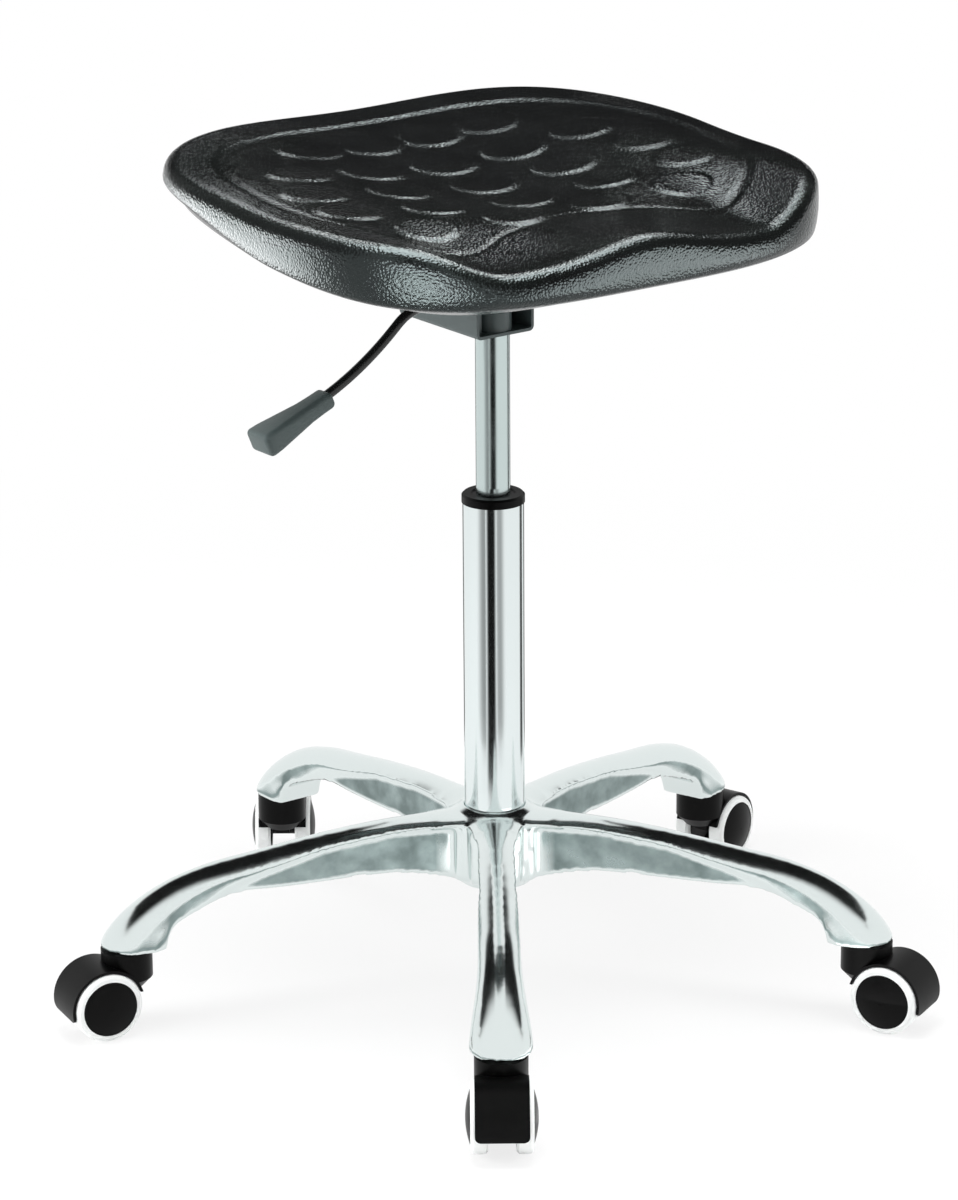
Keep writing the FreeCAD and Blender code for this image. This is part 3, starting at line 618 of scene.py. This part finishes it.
    def sweep(self, y: float) -> float:
        """How far the wall's lower edge sweeps up towards the back."""
        return self.back_sweep * self.sweep_ramp.at(y)

    def rolled(self, angle: float, turn: float) -> Point:
        """Point on the rounded upper edge."""
        inner = self.outline(turn, self.edge_radius)
        x, y = self.outline(turn, self.edge_radius * (1.0 - math.sin(angle)))
        return x, y, self.height(*inner) - self.edge_radius * (1.0 - math.cos(angle))

    def upright(self, share: float, inset: float, lift: float, turn: float) -> Point:
        """Point on the wall."""
        rim_y = self.outline(turn)[1]
        low = self.pan_z - self.wall_drop + self.wall_tilt * rim_y + self.sweep(rim_y)
        top = self.height(*self.outline(turn, self.edge_radius)) - self.edge_radius
        x, y = self.outline(turn, inset)
        return x, y, top + (low - top) * share + lift

    def under(self, scale: float, z: float, tilt: float, follow: float, turn: float) -> Point:
        """Point on the underside."""
        x, y = self.outline(turn)
        return x * scale, y * scale, z + tilt * y * scale + follow * self.sweep(y)

    def profile(self) -> List[Callable[[float], Point]]:
        """Rings below the top, each a function from direction to a point."""
        angles = [math.radians(90.0 * k / self.roll_steps) for k in range(1, self.roll_steps + 1)]
        rings = [partial(self.rolled, angle) for angle in angles]
        rings += [partial(self.upright, *row) for row in self.wall_rings]
        for scale, drop, tilt, follow in self.upper_rings:
            rings.append(partial(self.under, scale, self.pan_z - drop, tilt, follow))
        for scale, rise, tilt in self.lower_rings:
            rings.append(partial(self.under, scale, self.base_z + rise, tilt, 0.0))
        rings.append(partial(self.under, self.well_scale, self.board_z + self.glue_gap, 0.0, 0.0))
        return rings

    def build(self, material: Material) -> bpy.types.Object:
        """Shape a grid to the sitting surface and draw the wall and underside from its edge.

        Args:
            material: the skin.

        Returns:
            The cushion.
        """
        bm = bmesh.new()
        bmesh.ops.create_grid(bm, x_segments=self.columns, y_segments=self.rows, size=1.0)
        turns = bm.verts.layers.float.new("turn")
        for vert in bm.verts:
            a, b = vert.co.x, vert.co.y
            share = max(abs(a), abs(b))
            turn = math.atan2(b * self.half_depth, a * self.half_width)
            x, y = self.outline(turn, self.edge_radius)
            x, y = x * share, y * share
            vert[turns] = turn
            vert.co = (x, y, self.surface(x, y))
        edges = [edge for edge in bm.edges if edge.is_boundary]
        for ring in self.profile():
            verts, edges = extrude(bm, edges)
            for vert in verts:
                vert.co = ring(vert[turns])
        bmesh.ops.contextual_create(bm, geom=edges)
        piece = finish_piece(bm, "seat_cushion", "seat", material)
        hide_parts("seat_foam")
        return piece


@dataclass(frozen=True)
class HeightLever:
    """Bent lever rod with a rounded paddle grip. Lengths are in metres.

    Attributes:
        pivot_x: where the rod starts, inside the bracket.
        rod_z: height of its level part.
        rod_radius, rod_sides: its round section.
        bend_x, bend_radius, bend_steps: where and how tightly it bends down.
        steep: degrees that it falls by after the bend.
        flat: degrees that it falls by where it enters the grip.
        run_steps: stations between the bend and the rod's end.
        flat_step: the station at which it has become as flat as it gets.
        overlap: how far the rod runs into the grip.
        root: where the grip starts.
        tip: where the grip ends.
        stations: share of the grip's length, width and thickness of each section.
        edge, edge_steps: radius of the grip's edges and how many cells round them.
        sharp: degrees from which an edge is rounded.
    """

    pivot_x: float = -0.012
    rod_z: float = 0.589
    rod_radius: float = 0.004
    rod_sides: int = 24
    bend_x: float = -0.066
    bend_radius: float = 0.040
    bend_steps: int = 12
    steep: float = 43.0
    flat: float = 24.6
    run_steps: int = 16
    flat_step: int = 13
    overlap: float = 0.012
    root: Point = (-0.170, 0.0, 0.527)
    tip: Point = (-0.2285, 0.0, 0.503)
    stations: Tuple[Point, ...] = (
        (-0.17, 0.0190, 0.0140), (0.02, 0.0190, 0.0142), (0.22, 0.0200, 0.0148), (0.50, 0.0245, 0.0170),
        (0.78, 0.0290, 0.0192), (0.97, 0.0300, 0.0200))
    edge: float = 0.0046
    edge_steps: int = 5
    sharp: float = 35.0

    def rod_path(self) -> List[Point]:
        """Stations of the rod: X, Z and how steeply it falls there, in radians."""
        stops = [(self.pivot_x, self.rod_z, 0.0), (self.bend_x, self.rod_z, 0.0)]
        for k in range(1, self.bend_steps + 1):
            fall = math.radians(self.steep) * k / self.bend_steps
            stops.append((self.bend_x - self.bend_radius * math.sin(fall),
                          self.rod_z - self.bend_radius * (1.0 - math.cos(fall)), fall))
        x, z, _ = stops[-1]
        step = (x - self.root[0] + self.overlap) / self.run_steps
        for k in range(1, self.run_steps + 1):
            fall = math.radians(self.steep + (self.flat - self.steep) * min(1.0, k / self.flat_step))
            x, z = x - step, z - step * math.tan(fall)
            stops.append((x, z, fall))
        return stops

    def build_rod(self, material: Material) -> bpy.types.Object:
        """Draw a round section along the rod's path.

        Args:
            material: the rod's coat.

        Returns:
            The rod.
        """
        path = self.rod_path()
        bm = bmesh.new()
        level = Matrix.Rotation(math.radians(-90.0), 4, "Y")
        place = Matrix.Translation((path[0][0], 0.0, path[0][1])) @ level
        bmesh.ops.create_circle(bm, cap_ends=True, radius=self.rod_radius, segments=self.rod_sides,
                                matrix=place)
        edges = list(bm.edges)
        for before, after in zip(path, path[1:]):
            verts, edges = extrude(bm, edges)
            turn = Matrix.Rotation(before[2] - after[2], 4, "Y")
            move = Matrix.Translation((after[0], 0.0, after[1])) @ turn
            move = move @ Matrix.Translation((-before[0], 0.0, -before[1]))
            bmesh.ops.transform(bm, matrix=move, verts=verts)
        bmesh.ops.contextual_create(bm, geom=edges)
        piece = finish_piece(bm, "bent_rod", "lever", material)
        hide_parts("lever_rod")
        return piece

    def build_grip(self, material: Material) -> bpy.types.Object:
        """Draw the grip from its root section to its tip and round every edge.

        Args:
            material: the grip's plastic.

        Returns:
            The grip.
        """
        root, tip = Vector(self.root), Vector(self.tip)
        along = (tip - root).normalized()
        side = Vector((0.0, 1.0, 0.0))
        up = side.cross(along).normalized()
        up = up if up.z > 0 else -up
        length = (tip - root).length
        bm = bmesh.new()
        bmesh.ops.create_grid(bm, x_segments=1, y_segments=1, size=0.5)
        across = bm.verts.layers.float.new("across")
        tall = bm.verts.layers.float.new("tall")
        for vert in bm.verts:
            vert[across], vert[tall] = vert.co.x, vert.co.y
        verts, edges = list(bm.verts), list(bm.edges)
        for number, (share, wide, high) in enumerate(self.stations):
            if number > 0:
                verts, edges = extrude(bm, edges)
            middle = root + along * (length * share)
            for vert in verts:
                vert.co = middle + side * (vert[across] * wide) + up * (vert[tall] * high)
        bmesh.ops.contextual_create(bm, geom=edges)
        bmesh.ops.recalc_face_normals(bm, faces=bm.faces)
        limit = math.radians(self.sharp)
        sharp = [edge for edge in bm.edges if edge.is_manifold and edge.calc_face_angle(0.0) > limit]
        bmesh.ops.bevel(bm, geom=sharp, offset=self.edge, offset_type="OFFSET", segments=self.edge_steps,
                        profile=0.5, affect="EDGES", material=-1, clamp_overlap=True)
        piece = finish_piece(bm, "lever_grip", "lever", material)
        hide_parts("lever_handle")
        return piece


@dataclass(frozen=True)
class PolishedBase:
    """The cast base as a buffing wheel leaves it: edges softened and the arms' crowns evened out.

    Lengths are in metres.

    Attributes:
        voxel: cell of the even mesh.
        weld: vertices of the cast solid that are nearer than this become one.
        rub: how far one pass of the wheel moves a vertex towards its neighbours.
        passes: passes over the whole base.
        crown_passes: passes over the crowns, for each slope.
        crown_slopes: upward parts of the normal from which the wheel reaches a face, widest first.
        hub_radius: the crowns start outside this radius.
        lift, lift_radius, lift_spread: the filled dip in each arm's ridge.
        lift_ramp: heights over which the fill sets in.
        roof: radius round the stem and height of the corners of the ring that closes a foot.
        roof_steps: cells round that ring.
    """

    voxel: float = 0.0021
    weld: float = 0.00001
    rub: float = 0.5
    passes: int = 6
    crown_passes: int = 9
    crown_slopes: Tuple[float, ...] = (0.28, 0.36, 0.44, 0.52)
    hub_radius: float = 0.055
    lift: float = 0.0020
    lift_radius: float = 0.234
    lift_spread: float = 0.018
    lift_ramp: Ramp = Ramp(0.085, 0.02)
    roof: Tuple[Pair, ...] = ((0.009, 0.0775), (0.0183, 0.0775), (0.0154, 0.0845), (0.009, 0.0845))
    roof_steps: int = 48

    def close_foot(self, bm: BMesh, x: float, y: float) -> None:
        """Roof over a foot's hollow, so that the foot's tip is closed.

        Args:
            bm: the cast solid's mesh.
            x: where the castor's stem stands.
            y: where the castor's stem stands.
        """
        section = [bm.verts.new((x + out, y, z)) for out, z in self.roof]
        face = bm.faces.new(section)
        bmesh.ops.spin(bm, geom=[face, *face.verts, *face.edges], cent=(x, y, 0.0), axis=(0.0, 0.0, 1.0),
                       angle=2.0 * math.pi, steps=self.roof_steps, use_merge=True)
        bmesh.ops.delete(bm, geom=[face], context="FACES_ONLY")

    def cast_block(self) -> BMesh:
        """Even mesh over a merged copy of the cast solid."""
        bm = bmesh.new()
        bm.from_mesh(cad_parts["star_base"].data)
        for name in CASTOR_NAMES:
            low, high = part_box("stem_" + name)
            self.close_foot(bm, (low[0] + high[0]) / 2, (low[1] + high[1]) / 2)
        bmesh.ops.remove_doubles(bm, verts=bm.verts, dist=self.weld)
        mesh = bpy.data.meshes.new("cast_block")
        bm.to_mesh(mesh)
        bm.clear()
        block = bpy.data.objects.new("cast_block", mesh)
        bpy.context.scene.collection.objects.link(block)
        even = block.modifiers.new("even", "REMESH")
        even.mode = "VOXEL"
        even.voxel_size = self.voxel
        bm.from_object(block, bpy.context.evaluated_depsgraph_get())
        bpy.data.objects.remove(block)
        bpy.data.meshes.remove(mesh)
        return bm

    def buff(self, bm: BMesh, verts: Sequence[bmesh.types.BMVert], passes: int) -> None:
        """Rub a set of vertices smooth.

        Args:
            bm: the mesh.
            verts: what the wheel reaches.
            passes: how often it goes over them.
        """
        for _ in range(passes):
            bmesh.ops.smooth_vert(bm, verts=verts, factor=self.rub, use_axis_x=True, use_axis_y=True,
                                  use_axis_z=True)

    def build(self, material: Material) -> bpy.types.Object:
        """Buff the whole base a little and the arms' crowns a lot.

        Args:
            material: the aluminium.

        Returns:
            The base.
        """
        bm = self.cast_block()
        self.buff(bm, bm.verts, self.passes)
        bm.normal_update()
        for vert in bm.verts:
            off = (math.hypot(vert.co.x, vert.co.y) - self.lift_radius) / self.lift_spread
            vert.co.z += self.lift * math.exp(-off * off / 2) * self.lift_ramp.at(vert.co.z)
        arms = [vert for vert in bm.verts if math.hypot(vert.co.x, vert.co.y) > self.hub_radius]
        slopes = {vert: vert.normal.z for vert in arms}
        for slope in self.crown_slopes:
            self.buff(bm, [vert for vert in arms if slopes[vert] > slope], self.crown_passes)
        piece = finish_piece(bm, "polished_base", "base", material)
        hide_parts("star_base")
        return piece


def dress_nodes() -> None:
    """Give every node that the frame carries over its real material."""
    plated = PLATED_STEEL.material()
    nylon = NYLON.material()
    tread = TREAD.material()
    dress(["star_base"], CastAluminium().material())
    dress(["outer_tube"], CHROME.material())
    dress(["gas_cylinder", "piston_rod", "piston_head"], SATIN_STEEL.material())
    dress(["guide_bush"], nylon)
    dress(["bearing_lower_race", "bearing_balls", "bearing_upper_race", "retaining_clip", "valve_button",
           "lever_pivot_pin", "captive_nuts", "seat_screws"], plated)
    dress(["bumper_ring", "rod_seal"], RUBBER.material())
    dress(["seat_bracket", "taper_socket"], POWDER_COAT.material())
    dress(["lever_rod"], LEVER_PAINT.material())
    dress(["seat_board"], PlyFinish().material())
    dress(["lever_handle"], GRIP_PLASTIC.material())
    dress(["seat_foam"], SKIN_FOAM.material())
    for name in CASTOR_NAMES:
        dress(["hood_" + name, "wheel_%s_a" % name, "wheel_%s_b" % name], nylon)
        dress(["stem_" + name, "axle_" + name], plated)
        dress(["tyre_%s_a" % name, "tyre_%s_b" % name], tread)


class Band(Enum):
    """Surfaces that see a panel: lowest and highest height, and how fast both rise towards the back."""

    SEAT = (0.58, 0.9, 0.0)
    SEAT_WALL = (0.6555, 0.9, 0.11)
    LIFT = (0.158, 0.58, 0.0)
    CYLINDER = (0.43, 0.58, 0.0)
    TUBE = (0.158, 0.43, 0.0)
    BASE = (0.0, 0.158, 0.0)
    ARMS = (0.03, 0.158, 0.0)


@dataclass(frozen=True)
class Flag:
    """Panel that only mirrors see: a dark flag or a bright card, with sides that fade to white.

    Attributes:
        name: the panel's name.
        azimuth: degrees round the lift from the camera's side, anticlockwise from above.
        distance: metres from the lift.
        low: height of its lower edge.
        high: height of its upper edge.
        width: full width.
        tone: light in its middle.
        feather: share of the half width that fades.
        flat: True for a panel that lies level at its low height, as deep as high minus low.
        band: the surfaces that see the panel; it is clear for all others.
    """

    name: str
    azimuth: float
    distance: float
    low: float
    high: float
    width: float
    tone: float
    feather: float
    flat: bool = False
    band: Band = Band.SEAT

    def seen(self, tree: Tree) -> Socket:
        """One for a mirror ray that started within the band, nought for any other."""
        low, high, slope = self.band.value
        spot = add_node(tree, "ShaderNodeNewGeometry")
        path = add_node(tree, "ShaderNodeLightPath")
        back = add_node(tree, "ShaderNodeVectorMath", {
            0: spot.outputs["Incoming"], "Scale": path.outputs["Ray Length"]}, operation="SCALE")
        start = add_node(tree, "ShaderNodeVectorMath", {
            0: spot.outputs["Position"], 1: back.outputs[0]}, operation="ADD")
        origin = add_node(tree, "ShaderNodeSeparateXYZ", {0: start.outputs[0]})
        height = calc(tree, "MULTIPLY_ADD", origin.outputs[1], -slope, origin.outputs[2])
        return calc(tree, "COMPARE", height, (low + high) / 2, (high - low) / 2)

    def material(self) -> Material:
        """Glow that fades to the white surroundings on both sides."""
        material, tree, surface = blank_material(self.name + "_panel")
        across = add_node(tree, "ShaderNodeSeparateXYZ", {0: object_place(tree)}).outputs[0]
        side = self.width / 2
        light = remap(tree, calc(tree, "ABSOLUTE", across), (side * (1.0 - self.feather), side),
                      (self.tone, 1.0), "SMOOTHSTEP")
        glow = add_node(tree, "ShaderNodeEmission", {"Strength": light})
        clear = add_node(tree, "ShaderNodeBsdfTransparent")
        mixed = add_node(tree, "ShaderNodeMixShader", {
            0: self.seen(tree), 1: clear.outputs[0], 2: glow.outputs[0]})
        tree.links.new(mixed.outputs[0], surface)
        return material


@dataclass(frozen=True)
class SoftBox:
    """Area lamp that mirrors don't show.

    Attributes:
        name: the lamp's name.
        power: watts.
        width: size along its own X.
        height: size along its own Y.
        place: where it hangs.
        aim: the point that it faces.
    """

    name: str
    power: float
    width: float
    height: float
    place: Point
    aim: Point

    def hang(self) -> None:
        """Put the lamp in the scene."""
        data = bpy.data.lights.new(self.name, "AREA")
        data.shape = "RECTANGLE"
        data.size = self.width
        data.size_y = self.height
        data.energy = self.power
        box = bpy.data.objects.new(self.name, data)
        box.visible_glossy = False
        turn = (Vector(self.aim) - Vector(self.place)).to_track_quat("-Z", "Y")
        box.matrix_world = Matrix.Translation(self.place) @ turn.to_matrix().to_4x4()
        bpy.context.scene.collection.objects.link(box)


@dataclass(frozen=True)
class Studio:
    """White floor and surroundings, soft boxes, mirror panels and the camera.

    Attributes:
        eye: where the camera stands.
        view: the direction that it looks in.
        roll: degrees that it is turned about that direction.
        lens: focal length in millimetres.
        sensor: width of the sensor in millimetres.
        shift: sideways shift of the picture, as a share of its longer side.
        far: how far it sees, in metres.
        floor_size: the floor's side.
        floor_drop: how far the floor lies below the castors.
        floor_white: distances from the lift over which the floor becomes plain white.
        floor_glow: how much of its light is its own at those distances.
        sky_light: light that falls from the surroundings, where what is seen of them is one.
        boxes: the lamps.
        flags: the panels.
    """

    eye: Point = (-2.0333, -2.7250, 1.4508)
    view: Point = (0.5651, 0.7635, -0.3127)
    roll: float = -0.35
    lens: float = 131.49
    sensor: float = 36.0
    shift: float = 0.0012
    far: float = 60.0
    floor_size: float = 60.0
    floor_drop: float = 0.0005
    floor_white: Pair = (0.45, 1.6)
    floor_glow: Pair = (0.80, 1.0)
    sky_light: float = 0.45
    boxes: Tuple[SoftBox, ...] = (
        SoftBox("overhead_box", 40.0, 1.2, 0.7, (-0.2, -0.2, 2.3), (0.0, 0.0, 0.6)),
        SoftBox("left_box", 30.0, 1.0, 1.2, (-1.8, 0.9, 0.8), (0.0, 0.0, 0.55)),
        SoftBox("right_box", 20.0, 0.7, 1.4, (1.5, -1.9, 1.2), (0.0, 0.0, 0.5)),
    )
    flags: Tuple[Flag, ...] = (
        Flag("flag_room", 0.0, 3.9, 0.45, 4.2, 2.0, 0.02, 0.5),
        Flag("flag_side", 70.0, 1.35, 0.50, 3.1, 2.0, 0.01, 0.15),
        Flag("flag_far_side", 130.0, 1.0, 0.70, 2.1, 2.1, 0.01, 0.15),
        Flag("flag_stripe", -9.0, 0.48, 0.0, 0.60, 0.36, 0.01, 0.55, band=Band.TUBE),
        Flag("flag_core", 1.0, 0.40, 0.0, 0.60, 0.40, 0.01, 0.6, band=Band.CYLINDER),
        Flag("flag_grey", -35.0, 0.6, 0.0, 0.60, 0.66, 0.36, 0.9, band=Band.LIFT),
        Flag("flag_soft", 22.0, 0.62, 0.0, 0.60, 0.50, 0.42, 0.9, band=Band.TUBE),
        Flag("flag_right", 124.0, 0.55, 0.0, 0.6, 0.26, 0.08, 0.6, band=Band.LIFT),
        Flag("flag_edges", 180.0, 0.55, 0.0, 0.6, 0.80, 0.05, 0.4, band=Band.LIFT),
        Flag("flag_behind", 180.0, 0.56, 0.74, 1.50, 1.7, 0.01, 0.15),
        Flag("flag_left", -92.0, 0.95, 0.72, 1.9, 1.9, 0.15, 0.2),
        Flag("card_right", 138.0, 0.5, 1.2, 1.55, 0.7, 11.0, 0.3),
        Flag("card_back", -144.0, 0.52, 1.1, 1.4, 0.4, 7.0, 0.3),
        Flag("card_low_left", -104.0, 1.1, 0.0, 0.62, 1.2, 8.0, 0.4, band=Band.SEAT_WALL),
        Flag("card_low_near", -4.0, 1.2, 0.0, 0.60, 1.2, 12.0, 0.5, band=Band.SEAT_WALL),
        Flag("card_low_front", 72.0, 1.1, 0.0, 0.62, 1.1, 6.0, 0.4, band=Band.SEAT_WALL),
        Flag("flag_base_left", -90.0, 0.37, 0.40, 0.94, 0.72, 0.01, 0.45, True, Band.BASE),
        Flag("flag_base_right", 90.0, 0.37, 0.40, 0.94, 0.72, 0.01, 0.45, True, Band.BASE),
        Flag("card_floor", 36.0, 0.50, 0.002, 0.502, 0.55, 1.8, 0.4, True, Band.ARMS),
        Flag("card_above", 0.0, 0.25, 1.5, 2.3, 1.0, 14.0, 0.3, True),
    )

    def camera(self) -> None:
        """Stand the camera where the photograph was taken from."""
        data = bpy.data.cameras.new("photo_camera")
        data.lens = self.lens
        data.sensor_width = self.sensor
        data.clip_end = self.far
        data.shift_x = self.shift
        eye = bpy.data.objects.new("photo_camera", data)
        turn = Vector(self.view).to_track_quat("-Z", "Y").to_matrix().to_4x4()
        tilt = Matrix.Rotation(math.radians(self.roll), 4, "Z")
        eye.matrix_world = Matrix.Translation(self.eye) @ turn @ tilt
        bpy.context.scene.collection.objects.link(eye)
        bpy.context.scene.camera = eye

    def panel(self, name: str, width: float, height: float, place: Matrix,
              material: Material) -> bpy.types.Object:
        """Make one flat panel of the stage.

        Args:
            name: the panel's name.
            width: size along its own X.
            height: size along its own Y.
            place: where it stands.
            material: its surface.

        Returns:
            The panel.
        """
        bm = bmesh.new()
        bmesh.ops.create_grid(bm, x_segments=1, y_segments=1, size=0.5)
        bmesh.ops.scale(bm, vec=(width, height, 1.0), verts=bm.verts)
        mesh = bpy.data.meshes.new(name)
        bm.to_mesh(mesh)
        bm.free()
        mesh.materials.append(material)
        made = bpy.data.objects.new(name, mesh)
        made.matrix_world = place
        bpy.context.scene.collection.objects.link(made)
        return made

    def heading(self, azimuth: float) -> float:
        """Direction from the lift, in radians, for degrees from the camera's side."""
        return math.atan2(self.eye[1], self.eye[0]) + math.radians(azimuth)

    def stand(self, flag: Flag) -> Matrix:
        """Place of a panel: upright and facing the lift, or level."""
        away = self.heading(flag.azimuth)
        x, y = math.cos(away) * flag.distance, math.sin(away) * flag.distance
        if flag.flat:
            turn = Matrix.Rotation(self.heading(flag.azimuth + 90.0), 4, "Z")
            return Matrix.Translation((x, y, flag.low)) @ turn
        aim = Vector((-math.cos(away), -math.sin(away), 0.0)).to_track_quat("Z", "Y")
        middle = flag.low + (flag.high - flag.low) / 2
        return Matrix.Translation((x, y, middle)) @ aim.to_matrix().to_4x4()

    def hang_flags(self) -> None:
        """Hang the panels and hide them from all but mirror rays."""
        for flag in self.flags:
            tall = flag.high - flag.low
            made = self.panel(flag.name, flag.width, tall, self.stand(flag), flag.material())
            for ray in ("camera", "diffuse", "shadow", "transmission"):
                setattr(made, "visible_" + ray, False)

    def seen_by_eye(self, tree: Tree) -> Socket:
        """One for camera, mirror and see-through rays, nought for the light that falls on things."""
        path = add_node(tree, "ShaderNodeLightPath")
        seen = calc(tree, "MAXIMUM", path.outputs["Is Camera Ray"], path.outputs["Is Glossy Ray"])
        return calc(tree, "MAXIMUM", seen, path.outputs["Is Transmission Ray"])

    def floor_material(self) -> Material:
        """Pale sweep: nearly white by itself, with a little of the object's shadow."""
        material, tree, surface = blank_material("pale_sweep")
        paint = add_node(tree, "ShaderNodeBsdfDiffuse", {"Color": hex_colour("#fafafa")})
        glow = add_node(tree, "ShaderNodeEmission", {"Color": hex_colour("#ffffff"), "Strength": 1.0})
        away = add_node(tree, "ShaderNodeVectorMath", {0: object_place(tree)}, operation="LENGTH")
        white = remap(tree, away.outputs["Value"], self.floor_white, self.floor_glow, "SMOOTHSTEP")
        share = calc(tree, "MULTIPLY", self.seen_by_eye(tree), white)
        mixed = add_node(tree, "ShaderNodeMixShader", {0: share, 1: paint.outputs[0], 2: glow.outputs[0]})
        tree.links.new(mixed.outputs[0], surface)
        return material

    def world(self) -> None:
        """White surroundings to look at, and a weaker light from them."""
        world = bpy.data.worlds.new("studio")
        bpy.context.scene.world = world
        world.use_nodes = True
        tree = world.node_tree
        tree.nodes.clear()
        power = remap(tree, self.seen_by_eye(tree), (0.0, 1.0), (self.sky_light, 1.0))
        sky = add_node(tree, "ShaderNodeBackground", {"Color": hex_colour("#ffffff"), "Strength": power})
        add_node(tree, "ShaderNodeOutputWorld", {"Surface": sky.outputs[0]})

    def build(self) -> None:
        """Set the stage, the light and the camera."""
        place = Matrix.Translation((0.0, 0.0, -self.floor_drop))
        self.panel("floor", self.floor_size, self.floor_size, place, self.floor_material())
        self.hang_flags()
        for box in self.boxes:
            box.hang()
        self.world()
        bpy.context.scene.view_settings.view_transform = "Standard"
        self.camera()
        log.info("studio with %d panels", len(self.flags))


def main() -> None:
    """Build every part in order."""
    logging.basicConfig(level=logging.INFO, format="%(name)s %(message)s")
    dress_nodes()
    PolishedBase().build(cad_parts["star_base"].data.materials[0])
    SeatCushion().build(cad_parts["seat_foam"].data.materials[0])
    lever = HeightLever()
    lever.build_rod(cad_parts["lever_rod"].data.materials[0])
    lever.build_grip(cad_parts["lever_handle"].data.materials[0])
    Studio().build()


if __name__ == "__main__":
    main()
